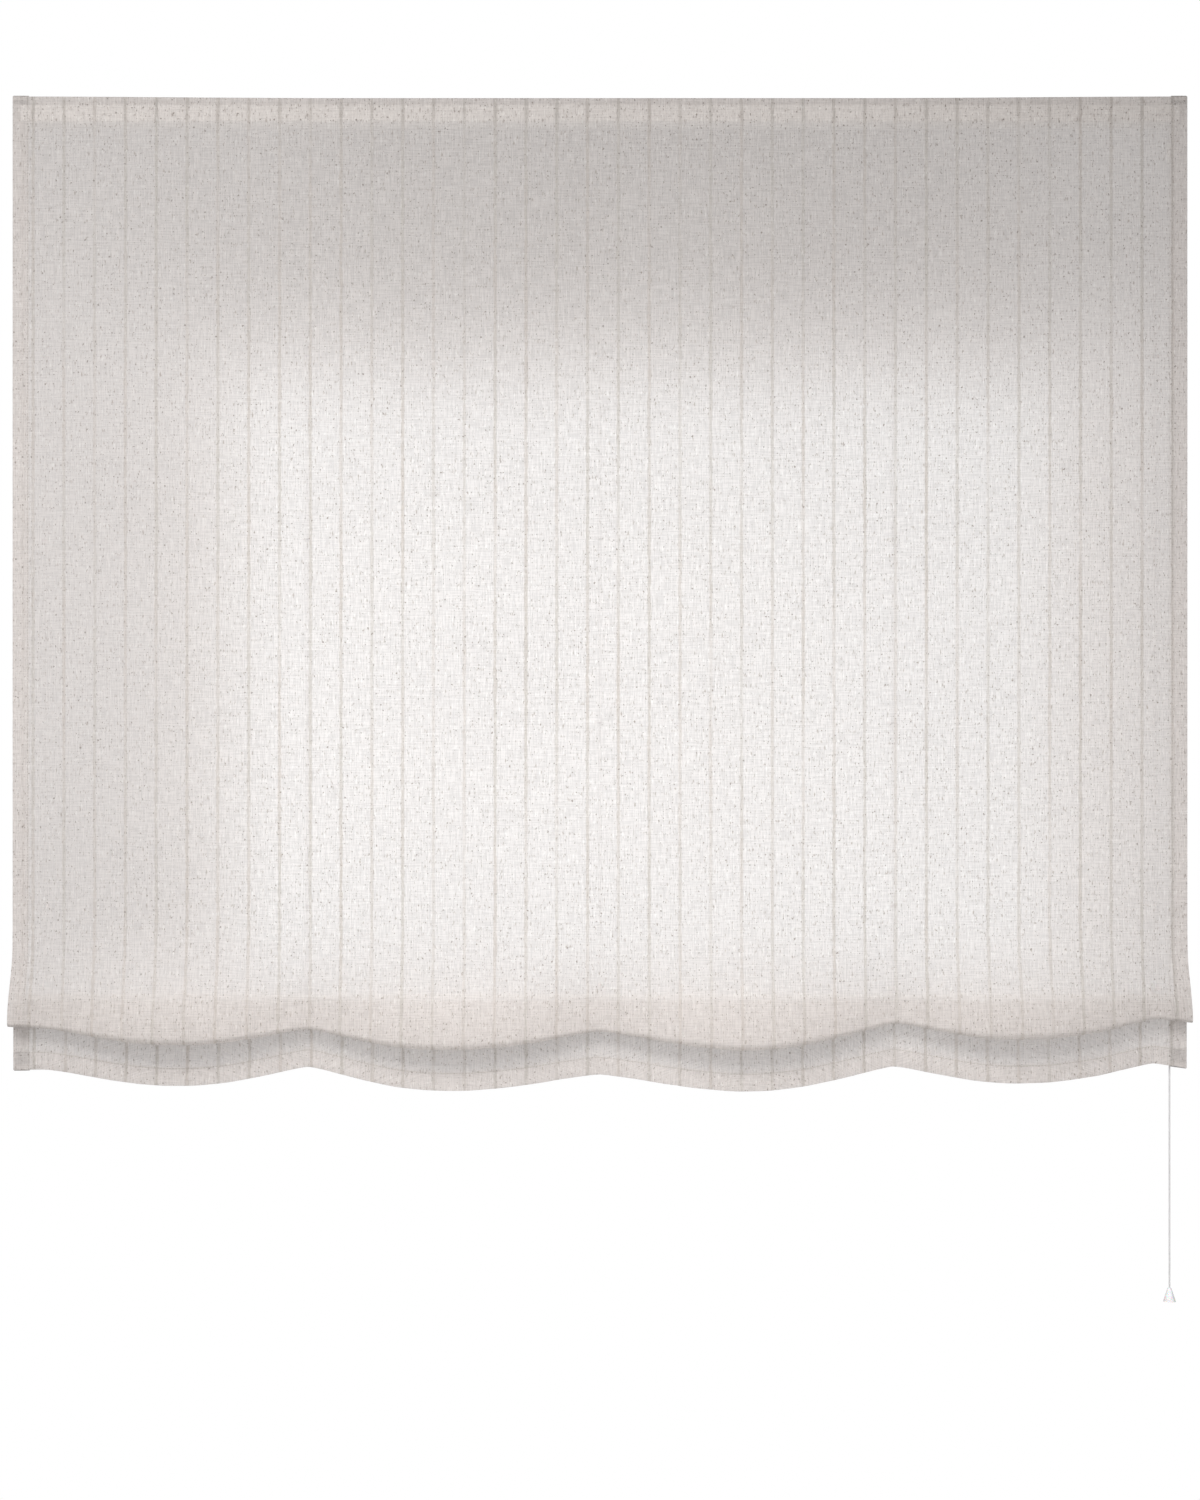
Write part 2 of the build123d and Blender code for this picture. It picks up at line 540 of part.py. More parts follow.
def make_cloth():
    """The whole cloth in one piece, flat above and folded over its hem below."""
    return loft([cloth_section(x) for x in cloth_stations()], ruled=True)


# ---------------------------------------------------------------- rings, rod and cords
def make_ring_row(z):
    """One row of sewn rings, which lie level so that the cords run straight through."""
    return [Pos(x, RING_Y, z) * Torus(RING_RADIUS, RING_WIRE_RADIUS) for x in RING_COLUMNS]


def make_lowest_rings():
    """The lowest rings, which stand on the rod pocket."""
    ring = Rot(90, 0, 0) * Torus(RING_RADIUS, RING_WIRE_RADIUS)
    return [Pos(x, RING_Y, LOWEST_RING_Z) * ring for x in RING_COLUMNS]


def make_rod_pocket():
    """The sleeve of tape that holds the rod."""
    half = CLOTH_WIDTH / 2 - POCKET_END_INSET
    outer = bar((-half, RING_Y, POCKET_Z), (1, 0, 0), 2 * half, POCKET_RADIUS)
    return outer - bar((-half, RING_Y, POCKET_Z), (1, 0, 0), 2 * half, ROD_RADIUS + POCKET_EASE)


def make_weight_rod():
    """The rod that keeps the lowest row of rings level."""
    half = CLOTH_WIDTH / 2 - ROD_END_INSET
    return bar((-half, RING_Y, POCKET_Z), (1, 0, 0), 2 * half, ROD_RADIUS)


def make_orb(x):
    """A safety orb, snapped on its ring, with the lift cord tied inside."""
    orb = Pos(x, RING_Y, ORB_Z) * Sphere(ORB_RADIUS)
    channel = Rot(90, 0, 0) * Torus(RING_RADIUS, RING_WIRE_RADIUS + CORD_HOLE_GAP)
    orb = orb - Pos(x, RING_Y, LOWEST_RING_Z) * channel
    depth = ORB_RADIUS - RING_WIRE_RADIUS - ORB_FLOOR
    hole_start = (x, RING_Y, ORB_Z + ORB_RADIUS - depth)
    hole = bar(hole_start, (0, 0, 1), depth + CUT_BEYOND, LIFT_CORD_RADIUS + CORD_HOLE_GAP)
    return orb - hole


def cord_route(column):
    """The corners of one lift cord's route, and the radius of its bend at each."""
    x = RING_COLUMNS[column]
    lane = lane_y(column)
    start_z = ORB_Z + RING_WIRE_RADIUS + ORB_FLOOR + CORD_END_GAP
    leave_z = ROW_HEIGHTS[-1] + CORD_LEAVES_RING
    enter_z = HEADRAIL_BOTTOM_Z - CORD_ENTERS_RAIL
    corners = [(x, RING_Y, start_z), (x, RING_Y, leave_z), (x, lane, enter_z)]
    corners += [(x, lane, CORD_RUN_Z), (PULL_X, lane, CORD_RUN_Z)]
    corners += [(PULL_X, lane, JOINER_TOP_Z - JOINER_GRIP)]
    slant = math.atan2(lane - RING_Y, enter_z - leave_z)
    first_bend = LONG_BEND_SHARE * (enter_z - leave_z) / math.tan(slant / 2)
    second_bend = END_BEND_SHARE * (CORD_RUN_Z - enter_z - GUIDE_BEND) / math.tan(slant / 2)
    over_roller = LOCK_BEND if column == len(RING_COLUMNS) - 1 else GUIDE_BEND
    return corners, [first_bend, second_bend, over_roller, LOCK_BEND]


def make_lift_cord(column):
    """A lift cord from its orb, up through the rings, along the headrail and out of the lock."""
    corners, bends = cord_route(column)
    path = FilletPolyline(*corners, radius=bends)
    seat = Plane(origin=path @ 0, z_dir=path % 0)
    cord = sweep(seat * Circle(LIFT_CORD_RADIUS), path=path)
    tube_volume = math.pi * LIFT_CORD_RADIUS**2 * path.length
    bend_text = ", ".join(f"{bend:.1f}" for bend in bends)
    print(f"lift cord {column + 1}: length {path.length:.1f}, bends {bend_text}")
    print(f"    solid {cord.volume:.1f} mm3, section by length {tube_volume:.1f} mm3")
    return cord


def make_joiner():
    """The bell that gathers the five lift cords and holds the pull cord."""
    head_length = JOINER_LENGTH * JOINER_HEAD_SHARE
    shoulder = Plane.XY.offset(JOINER_TOP_Z - head_length) * Pos(PULL_X, ROLLER_Y)
    tip = Plane.XY.offset(JOINER_BOTTOM_Z) * Pos(PULL_X, ROLLER_Y)
    wide = RectangleRounded(JOINER_DEPTH, JOINER_WIDTH, JOINER_DEPTH * JOINER_CORNER_SHARE)
    tip_width = 2 * JOINER_TIP_RADIUS
    narrow = RectangleRounded(tip_width, tip_width, JOINER_TIP_RADIUS * JOINER_TIP_CORNER_SHARE)
    head = extrude(shoulder * wide, head_length)
    tail = loft([shoulder * wide, tip * narrow])
    bell = head + tail
    for column in range(len(RING_COLUMNS)):
        hole_start = (PULL_X, lane_y(column), JOINER_TOP_Z - JOINER_GRIP - CUT_BEYOND)
        hole_length = JOINER_GRIP + 2 * CUT_BEYOND
        bell = bell - bar(hole_start, (0, 0, 1), hole_length, LIFT_CORD_RADIUS + CORD_HOLE_GAP)
    bore_start = (PULL_X, ROLLER_Y, JOINER_BOTTOM_Z - CUT_BEYOND)
    bore_length = JOINER_GRIP + 2 * CUT_BEYOND
    return bell - bar(bore_start, (0, 0, 1), bore_length, PULL_CORD_RADIUS + CORD_HOLE_GAP)


def make_pull_cord():
    """The single pull cord, straight under the weight of its tassel, with the knot at its end."""
    top = JOINER_BOTTOM_Z + JOINER_GRIP
    knot_z = TASSEL_TOP_Z - TASSEL_ROOF - CORD_HOLE_GAP - PULL_KNOT_RADIUS
    cord = bar((PULL_X, ROLLER_Y, knot_z), (0, 0, 1), top - knot_z, PULL_CORD_RADIUS)
    print(f"pull cord: length {top - knot_z:.1f}, straight")
    return cord + Pos(PULL_X, ROLLER_Y, knot_z) * Sphere(PULL_KNOT_RADIUS)


def make_tassel():
    """The hollow cone that weights the pull cord."""
    middle = (TASSEL_BOTTOM_Z + TASSEL_TOP_Z) / 2
    place = Pos(PULL_X, ROLLER_Y, middle)
    cone = place * Cone(TASSEL_RADIUS, TASSEL_TOP_RADIUS, TASSEL_HEIGHT)
    slope = (TASSEL_RADIUS - TASSEL_TOP_RADIUS) / TASSEL_HEIGHT
    hollow_height = TASSEL_HEIGHT - TASSEL_ROOF
    hollow_top = TASSEL_TOP_RADIUS + slope * TASSEL_ROOF - TASSEL_WALL
    hollow_place = Pos(PULL_X, ROLLER_Y, TASSEL_BOTTOM_Z + hollow_height / 2)
    hollow = hollow_place * Cone(TASSEL_RADIUS - TASSEL_WALL, hollow_top, hollow_height)
    bore_start = (PULL_X, ROLLER_Y, TASSEL_BOTTOM_Z)
    bore = bar(bore_start, (0, 0, 1), TASSEL_HEIGHT + CUT_BEYOND, PULL_CORD_RADIUS + CORD_HOLE_GAP)
    return cone - hollow - bore


# ---------------------------------------------------------------- all the pieces
def make_nodes():
    """Every piece of the blind, by name."""
    nodes = {
        "headrail": make_headrail(),
        "end_cap_left": make_end_cap(-1),
        "end_cap_right": make_end_cap(1),
        "hook_tape": make_tape(HEADRAIL_FRONT_Y - TAPE_THICKNESS),
        "loop_tape": make_tape(LOOP_TAPE_FRONT_Y),
        "cloth": make_cloth(),
    }
    for place, x in zip(("left", "centre", "right"), BRACKET_POSITIONS):
        nodes[f"bracket_{place}"] = make_bracket(x)
        nodes[f"lever_{place}"] = make_lever(x)
    nodes["bracket_rivets"] = [make_rivet(x) for x in BRACKET_POSITIONS]
    roller_places = [x + GUIDE_BEND for x in RING_COLUMNS[:-1]]
    for number, (column_x, roller_x) in enumerate(zip(RING_COLUMNS, roller_places), start=1):
        nodes[f"cord_guide_{number}"] = make_guide(column_x)
        nodes[f"guide_roller_{number}"] = make_roller(roller_x, ROLLER_AXLE_Z, GUIDE_ROLLER_RADIUS)
    nodes["guide_axles"] = [axle(x, ROLLER_AXLE_Z, AXLE_RADIUS) for x in roller_places]
    nodes["lock_housing"] = make_lock_housing()
    nodes["lock_entry_roller"] = make_roller(LOCK_ENTRY_X, LOCK_AXLE_Z, LOCK_ROLLER_RADIUS)
    nodes["lock_exit_roller"] = make_roller(LOCK_EXIT_X, LOCK_AXLE_Z, LOCK_ROLLER_RADIUS)
    nodes["lock_axles"] = [axle(x, LOCK_AXLE_Z, AXLE_RADIUS) for x in (LOCK_ENTRY_X, LOCK_EXIT_X)]
    nodes["lock_pawl"] = make_pawl()
    for row, z in enumerate(ROW_HEIGHTS, start=2):
        nodes[f"rings_row_{row}"] = make_ring_row(z)
    nodes["rings_row_1"] = make_lowest_rings()
    nodes["rod_pocket"] = make_rod_pocket()
    nodes["weight_rod"] = make_weight_rod()
    nodes["cord_orbs"] = [make_orb(x) for x in RING_COLUMNS]
    for column in range(len(RING_COLUMNS)):
        nodes[f"lift_cord_{column + 1}"] = make_lift_cord(column)
    nodes["cord_joiner"] = make_joiner()
    nodes["pull_cord"] = make_pull_cord()
    nodes["cone_tassel"] = make_tassel()
    return nodes


def main():
    """Write one STEP file for each piece."""
    os.makedirs("parts", exist_ok=True)
    for name, shape in make_nodes().items():
        if isinstance(shape, list):
            shape = Compound(children=shape)
        export_step(shape, f"parts/{name}.step")


main()
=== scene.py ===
import math

import bpy
import numpy as np
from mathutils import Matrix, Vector, noise


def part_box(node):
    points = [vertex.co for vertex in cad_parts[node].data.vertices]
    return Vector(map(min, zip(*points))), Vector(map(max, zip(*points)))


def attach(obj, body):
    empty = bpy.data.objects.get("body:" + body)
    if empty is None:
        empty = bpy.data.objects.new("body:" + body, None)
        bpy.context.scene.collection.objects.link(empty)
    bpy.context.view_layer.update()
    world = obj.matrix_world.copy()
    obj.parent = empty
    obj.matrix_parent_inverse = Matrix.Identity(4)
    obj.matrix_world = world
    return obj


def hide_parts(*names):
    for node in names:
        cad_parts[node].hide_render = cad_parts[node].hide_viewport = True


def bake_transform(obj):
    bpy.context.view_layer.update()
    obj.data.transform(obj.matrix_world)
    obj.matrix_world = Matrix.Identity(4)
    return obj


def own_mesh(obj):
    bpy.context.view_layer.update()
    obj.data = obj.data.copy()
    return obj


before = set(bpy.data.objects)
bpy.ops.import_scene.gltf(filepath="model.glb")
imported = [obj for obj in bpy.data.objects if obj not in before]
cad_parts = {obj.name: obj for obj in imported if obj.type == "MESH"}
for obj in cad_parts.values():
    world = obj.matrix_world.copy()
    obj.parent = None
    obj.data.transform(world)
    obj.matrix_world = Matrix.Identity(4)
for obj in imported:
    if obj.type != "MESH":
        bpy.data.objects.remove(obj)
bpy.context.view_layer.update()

# Relaxed roman blind: the looks of its sheer cloth, cords and fittings. Metres, in the frame of
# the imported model: X along the headrail, Y towards the wall, Z up.

# ---------------------------------------------------------------- sizes of the blind
CLOTH_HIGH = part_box("cloth")[1]
HALF_WIDTH = CLOTH_HIGH.x
CLOTH_TOP_Z = CLOTH_HIGH.z
CLOTH_Y = -0.03315  # middle of the hanging cloth
HEADING_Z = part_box("headrail")[0].z  # the cloth is fast to the headrail down to here

RING_RADIUS = 0.0055
RING_WIRE_RADIUS = 0.001
RING_OUTER_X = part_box("rings_row_2")[1].x - RING_RADIUS - RING_WIRE_RADIUS
RING_INNER_X = 0.399
RING_COLUMNS = (-RING_OUTER_X, -RING_INNER_X, 0.0, RING_INNER_X, RING_OUTER_X)
RING_Y = -0.0256
ROW_HEIGHTS = [sum(corner.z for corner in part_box(f"rings_row_{row}")) / 2 for row in range(2, 6)]

INNER_FOLD_Z = -1.2095
FLAT_ABOVE_FOLD = 0.109
FRONT_FOLD_PEAKS = (0.037, 0.040, 0.042, 0.031, 0.025)
FRONT_FOLD_BELLIES = (0.059, 0.066, 0.066, 0.052)
FRONT_FOLD_SIDES = (0.036, 0.030)
HEM_PEAKS = (0.095, 0.092, 0.102, 0.091, 0.087)
HEM_BELLIES = (0.116, 0.123, 0.1235, 0.113)
HEM_SIDES = (0.096, 0.093)
FOLD_FORWARD = (0.009, 0.031)  # at a ring column, and half way between two
FOLD_RADIUS = (0.006, 0.011)
HEM_FORWARD_BELLY = 0.012
INNER_FOLD_RADIUS = 0.004
SWAG_SHARPNESS = 0.6
FALL_LEANS = (0.5, 0.35)
RISE_LEANS = (0.4, 0.4)
HANG_LEANS = (0.4, 0.3)

SIDE_TURN = 0.022  # cloth turned to the back along each side
TOP_TURN = 0.010
HEM_TURN = 0.025
TURN_GAP = 0.0011  # from the front layer to the turned one
FOLD_FLARE = 0.0055  # the sides of the front fold stand out this much
HEM_FLARE = 0.002
CORNER_LIFT = 0.0022  # the top edge rises this much towards each corner
CORNER_LIFT_LENGTH = 0.45
TURNED_TOP_ROWS = 5  # rows of the cloth's grid in the turning over the top
TURNED_HEM_ROWS = 8
COLUMN_STEP = 0.005
PANEL_STEP = 0.0125

STRIPE_PITCH = 0.04195
STRIPE_SHIFT = -0.017
STRIPE_WIDTH = 0.0044

LIFT_CORD_RADIUS = 0.0006
CORD_LANE_PITCH = 0.0018
LANES_MIDDLE_Y = -0.015
CORD_RUN_Z = 0.00265
ORB_CORD_Z = -1.18705  # a lift cord's end inside its orb
CORD_LEAVES_RING = 0.020  # above the top ring a cord leans towards its lane
CORD_ENTERS_RAIL = 0.012  # and runs upright again this far below the headrail
GUIDE_BEND = 0.00565
LOCK_BEND = 0.00465
PULL_X = 0.780
JOINER_TOP_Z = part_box("cord_joiner")[1].z
JOINER_BOTTOM_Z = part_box("cord_joiner")[0].z
JOINER_GRIP = 0.005
PULL_CORD_RADIUS = 0.00115
PULL_KNOT_Z = -1.61065
PULL_KNOT_RADIUS = 0.002


# ---------------------------------------------------------------- camera, lights and floor
def aim(thing, target):
    """Turn a light or the camera towards a point."""
    direction = Vector(target) - thing.location
    thing.rotation_euler = direction.to_track_quat("-Z", "Y").to_euler()


def add_camera():
    """Square on to the blind, at the height of its middle."""
    distance = 3.2
    view_height = 2.043
    view_middle_z = -0.8685
    camera = bpy.data.objects.new("camera", bpy.data.cameras.new("camera"))
    bpy.context.scene.collection.objects.link(camera)
    camera.location = (0, CLOTH_Y - distance, view_middle_z)
    aim(camera, (0, CLOTH_Y, view_middle_z))
    camera.data.sensor_width = 36
    camera.data.lens = camera.data.sensor_width * distance / view_height
    bpy.context.scene.camera = camera


def add_area_light(name, location, target, size, watts, colour=(1, 1, 1), spread=180):
    """A soft rectangular light that the camera doesn't see. Its spread is in degrees."""
    light = bpy.data.lights.new(name, "AREA")
    light.shape = "RECTANGLE"
    light.size, light.size_y = size
    light.energy = watts
    light.color = colour
    light.spread = math.radians(spread)
    lamp = bpy.data.objects.new(name, light)
    bpy.context.scene.collection.objects.link(lamp)
    lamp.location = location
    aim(lamp, target)
    lamp.visible_camera = False


def add_surroundings():
    """White surroundings. Through the cloth they look grey, with painted shade above the window opening."""
    scene = bpy.context.scene
    scene.view_settings.view_transform = "Standard"
    world = bpy.data.worlds.new("studio")
    scene.world = world
    world.use_nodes = True
    tree = world.node_tree
    background = tree.nodes["Background"]
    rays = tree.nodes.new("ShaderNodeLightPath")
    seen = rays.outputs["Is Camera Ray"]
    direction = place(tree, "ShaderNodeTexCoord").outputs["Generated"]
    aside, _, upward = place(tree, "ShaderNodeSeparateXYZ", {"Vector": direction}).outputs
    # Painted shade: seen through the cloth, the surroundings are darker above the window opening, most at
    # the middle.
    above_window = ease(tree, upward, 0.15, 0.215)
    middle = ease(tree, calc(tree, "ABSOLUTE", aside), 0.24, 0.06, 0.45, 1.0)
    painted_shade_share = calc(tree, "MULTIPLY", above_window, middle)
    beyond = blend_colours(tree, painted_shade_share, (0.55, 0.55, 0.56, 1), (0.22, 0.22, 0.225, 1))
    room_glow = (0.346, 0.337, 0.332, 1)
    through_cloth = blend_colours(tree, seen, room_glow, beyond)
    bare = calc(tree, "LESS_THAN", rays.outputs["Transparent Depth"], 0.5)
    open_view = calc(tree, "MULTIPLY", seen, bare)
    shade = blend_colours(tree, open_view, through_cloth, (1, 1, 1, 1))
    tree.links.new(shade, background.inputs["Color"])


def add_lights():
    """Soft light from the room in front, and daylight from the window behind the cloth."""
    white = (1, 1, 1)
    fill_colour = (1, 0.98, 0.97)
    fold_colour = (1, 0.985, 0.972)
    add_area_light("room_light", (-1.2, -2.9, 0.2), (-0.03, 0, -0.35), (2.6, 2.0), 8.6, white, 90)
    add_area_light("room_fill", (0.6, -2.8, -1.5), (-0.05, 0, -1.3), (2.0, 1.2), 7.2, fill_colour, 100)
    add_area_light("fold_light", (-0.5, -1.7, 0.9), (-0.1, 0, -1.35), (2.4, 1.2), 14, fold_colour, 60)

    day = (0.70, 0.89, 1.0)
    pane_x, pane_z = 0.06, -0.77
    pane_size = (1.10, 0.80)
    add_area_light("window_light", (pane_x, 0.20, pane_z), (pane_x, 0, pane_z), pane_size, 1.05, day, 50)
    reveal_x, reveal_z = 0.10, -0.75
    reveal_size = (1.30, 0.84)
    add_area_light(
        "reveal_light", (reveal_x, 0.27, reveal_z), (reveal_x, 0, reveal_z), reveal_size, 1.4, white, 60
    )


def add_floor():
    """A pale floor below the blind."""
    half_x, front_y, back_y, floor_z = 2.6, -2.6, 0.85, -2.2
    corners = [(-half_x, front_y), (half_x, front_y), (half_x, back_y), (-half_x, back_y)]
    mesh = bpy.data.meshes.new("floor")
    mesh.from_pydata([(x, y, floor_z) for x, y in corners], [], [(0, 1, 2, 3)])
    floor = bpy.data.objects.new("floor", mesh)
    bpy.context.scene.collection.objects.link(floor)
    mesh.materials.append(pale_floor())


# ---------------------------------------------------------------- shader helpers
def feed(tree, socket, value):
    """Link a socket to another, or set its value."""
    if isinstance(value, bpy.types.NodeSocket):
        tree.links.new(value, socket)
    else:
        socket.default_value = value


def place(tree, kind, sockets=None, **settings):
    """A new shader node with its settings and inputs."""
    node = tree.nodes.new(kind)
    for name, value in settings.items():
        setattr(node, name, value)
    for key, value in (sockets or {}).items():
        feed(tree, node.inputs[key], value)
    return node


def calc(tree, operation, *values):
    """A sum on values that change over the surface."""
    node = place(tree, "ShaderNodeMath", operation=operation)
    for socket, value in zip(node.inputs, values):
        feed(tree, socket, value)
    return node.outputs[0]


def blend_colours(tree, share, first, second):
    """From the first colour at 0 to the second at 1."""
    node = place(tree, "ShaderNodeMix", data_type="RGBA")
    feed(tree, node.inputs[0], share)
    feed(tree, node.inputs[6], first)
    feed(tree, node.inputs[7], second)
    return node.outputs[2]


def ease(tree, value, low, high, low_out=0.0, high_out=1.0):
    """A smooth step from low_out to high_out as the value goes from low to high."""
    limits = {"From Min": low, "From Max": high, "To Min": low_out, "To Max": high_out}
    node = place(tree, "ShaderNodeMapRange", {"Value": value, **limits}, interpolation_type="SMOOTHSTEP")
    return node.outputs["Result"]


def patches(tree, x, y, z=0.0, detail=1.0):
    """Smooth random patches about one unit across in the given coordinates."""
    spot = place(tree, "ShaderNodeCombineXYZ", {"X": x, "Y": y, "Z": z}).outputs[0]
    node = place(tree, "ShaderNodeTexNoise", {"Vector": spot, "Scale": 1.0, "Detail": detail})
    return node.outputs["Fac"]


def new_group(name, inputs, outputs):
    """An empty node group with float inputs and its outputs."""
    group = bpy.data.node_groups.new(name, "ShaderNodeTree")
    for label, value in inputs.items():
        socket = group.interface.new_socket(label, in_out="INPUT", socket_type="NodeSocketFloat")
        socket.default_value = value
    for label in outputs:
        group.interface.new_socket(label, in_out="OUTPUT", socket_type="NodeSocketFloat")
    return group, group.nodes.new("NodeGroupInput").outputs, group.nodes.new("NodeGroupOutput").inputs


def use_group(tree, group, **values):
    """A group in a material, with its inputs named in lower case and underscores."""
    node = place(tree, "ShaderNodeGroup", node_tree=group)
    for name, value in values.items():
        feed(tree, node.inputs[name.replace("_", " ").title()], value)
    return node.outputs


def new_material(name):
    """An empty material with its Principled shader wired to the surface."""
    material = bpy.data.materials.new(name)
    material.use_nodes = True
    tree = material.node_tree
    return material, tree, tree.nodes["Principled BSDF"]


def relief(tree, shader, height, distance, strength=1.0):
    """Bump a shader's surface by a height from 0 to 1 of a real distance."""
    bump = place(tree, "ShaderNodeBump", {"Height": height, "Distance": distance, "Strength": strength})
    tree.links.new(bump.outputs["Normal"], shader.inputs["Normal"])
    return bump.outputs["Normal"]


# ---------------------------------------------------------------- shared effects
def make_slub_weave():
    """Slubby plain weave with a coloured warp stripe at every pitch."""
    inputs = {"Across": 0.0, "Along": 0.0, "Stripe Pitch": 0.04, "Stripe Shift": 0.0, "Stripe Width": 0.004}
    outputs = ("Stripe", "Tint", "Fleck", "Pale", "Speck", "Thread", "Cloud")
    group, given, result = new_group("slub_weave", inputs, outputs)
    across, along = given["Across"], given["Along"]
    from_first = calc(group, "SUBTRACT", across, given["Stripe Shift"])
    turns = calc(group, "DIVIDE", from_first, given["Stripe Pitch"])
    index = calc(group, "ROUND", turns)
    offset = calc(group, "MULTIPLY", calc(group, "SUBTRACT", turns, index), given["Stripe Pitch"])
    seed = calc(group, "MULTIPLY", index, 3.17)

    sway = patches(group, calc(group, "MULTIPLY", along, 38), seed)
    waver = calc(group, "MULTIPLY_ADD", sway, 0.0022, -0.0011)
    reach = calc(group, "ABSOLUTE", calc(group, "ADD", offset, waver))
    swell = patches(group, calc(group, "MULTIPLY", along, 110), seed, 7.0)
    half = calc(group, "MULTIPLY", given["Stripe Width"], calc(group, "MULTIPLY_ADD", swell, 0.7, 0.15))
    band = ease(group, calc(group, "SUBTRACT", half, reach), -0.0006, 0.0007)
    run = patches(group, calc(group, "MULTIPLY", along, 4.5), seed, 3.0)
    lot = patches(group, seed, 9.1)
    along_strength = ease(group, run, 0.25, 0.6, 0.55, 1.0)
    lot_strength = ease(group, lot, 0.3, 0.6, 0.6, 1.0)
    strength = calc(group, "MULTIPLY", along_strength, lot_strength)
    fibres = patches(group, calc(group, "MULTIPLY", across, 900), calc(group, "MULTIPLY", along, 210))
    strength = calc(group, "MULTIPLY", strength, ease(group, fibres, 0.3, 0.6, 0.5, 1.0))
    feed(group, result["Stripe"], calc(group, "MULTIPLY", band, strength))
    hue = patches(group, seed, calc(group, "MULTIPLY", along, 3), 5.0)
    feed(group, result["Tint"], ease(group, hue, 0.35, 0.65))

    lane = calc(group, "MULTIPLY", across, 430)
    slubs = patches(group, lane, calc(group, "MULTIPLY", along, 130), 1.0, 2.0)
    feed(group, result["Fleck"], ease(group, slubs, 0.60, 0.72))
    # Pale flecks: pale slub threads with painted glints on them.
    pale_slub_glints = patches(group, lane, calc(group, "MULTIPLY", along, 110), 4.0)
    feed(group, result["Pale"], ease(group, pale_slub_glints, 0.60, 0.72))
    dots = patches(group, calc(group, "MULTIPLY", across, 330), calc(group, "MULTIPLY", along, 260), 8.0)
    feed(group, result["Speck"], ease(group, dots, 0.67, 0.725))
    warp = patches(group, calc(group, "MULTIPLY", across, 640), calc(group, "MULTIPLY", along, 38), 2.0)
    weft = patches(group, calc(group, "MULTIPLY", across, 42), calc(group, "MULTIPLY", along, 560), 6.0)
    thread = calc(group, "MULTIPLY_ADD", weft, 0.44, calc(group, "MULTIPLY", warp, 0.56))
    feed(group, result["Thread"], thread)
    cloud = patches(group, calc(group, "MULTIPLY", across, 5), calc(group, "MULTIPLY", along, 4), 0.0, 4.0)
    feed(group, result["Cloud"], cloud)
    return group


def make_stitches():
    """A row of lock stitches at a set distance from an edge."""
    group, given, result = new_group("stitches", {"Distance": 0.0, "Line": 0.02, "Along": 0.0}, ("Mask",))
    reach = calc(group, "ABSOLUTE", calc(group, "SUBTRACT", given["Distance"], given["Line"]))
    thread = ease(group, reach, 0.0009, 0.0003)
    step = calc(group, "FRACT", calc(group, "DIVIDE", given["Along"], 0.0042))
    dash = ease(group, calc(group, "ABSOLUTE", calc(group, "SUBTRACT", step, 0.5)), 0.42, 0.34)
    feed(group, result["Mask"], calc(group, "MULTIPLY", thread, dash))
    return group


def make_grain():
    """Fine moulding or powder grain with broad, faint handling marks."""
    group, given, result = new_group("grain", {"Size": 0.0006, "Marks": 0.05}, ("Grain", "Marks"))
    spot = place(group, "ShaderNodeTexCoord").outputs["Object"]
    parts = place(group, "ShaderNodeSeparateXYZ", {"Vector": spot}).outputs
    fine = [calc(group, "DIVIDE", parts[axis], given["Size"]) for axis in (0, 1, 2)]
    broad = [calc(group, "DIVIDE", parts[axis], given["Marks"]) for axis in (0, 1, 2)]
    feed(group, result["Grain"], patches(group, *fine, 2.0))
    feed(group, result["Marks"], ease(group, patches(group, *broad, 3.0), 0.35, 0.68))
    return group


def make_tape_weave():
    """The crossed threads of a narrow woven tape."""
    group, given, result = new_group("tape_weave", {"Thread": 0.0008}, ("Height", "Shade"))
    spot = place(group, "ShaderNodeTexCoord").outputs["Object"]
    parts = place(group, "ShaderNodeSeparateXYZ", {"Vector": spot}).outputs
    turn = calc(group, "DIVIDE", math.pi, given["Thread"])
    over = calc(group, "SINE", calc(group, "MULTIPLY", parts[0], turn))
    rise = calc(group, "SINE", calc(group, "MULTIPLY", calc(group, "ADD", parts[2], parts[1]), turn))
    check = calc(group, "MULTIPLY_ADD", calc(group, "MULTIPLY", over, rise), 0.5, 0.5)
    feed(group, result["Height"], check)
    uneven = patches(group, calc(group, "MULTIPLY", parts[0], 160), calc(group, "MULTIPLY", parts[2], 300))
    # The shade mixes uneven tone with painted shade where the threads pass under.
    shade = calc(group, "MULTIPLY_ADD", uneven, 0.5, calc(group, "MULTIPLY", check, 0.5))
    feed(group, result["Shade"], shade)
    return group


def make_braid():
    """Strands plaited along a cord."""
    group, given, result = new_group("braid", {"Pitch": 0.0022}, ("Height", "Shade"))
    spot = place(group, "ShaderNodeTexCoord").outputs["Object"]
    parts = place(group, "ShaderNodeSeparateXYZ", {"Vector": spot}).outputs
    turn = calc(group, "DIVIDE", 2 * math.pi, given["Pitch"])
    length = calc(group, "ADD", parts[0], parts[2])
    left = calc(group, "SINE", calc(group, "MULTIPLY", calc(group, "ADD", length, parts[1]), turn))
    right = calc(group, "SINE", calc(group, "MULTIPLY", calc(group, "SUBTRACT", length, parts[1]), turn))
    strands = calc(group, "MULTIPLY_ADD", calc(group, "MAXIMUM", left, right), 0.5, 0.5)
    feed(group, result["Height"], strands)
    soil = patches(group, calc(group, "MULTIPLY", length, 45), 0.0, 0.0, 3.0)
    # The shade mixes soiling along the cord with painted shade in the grooves between strands.
    shade = calc(group, "MULTIPLY_ADD", soil, 0.4, calc(group, "MULTIPLY", strands, 0.6))
    feed(group, result["Shade"], shade)
    return group


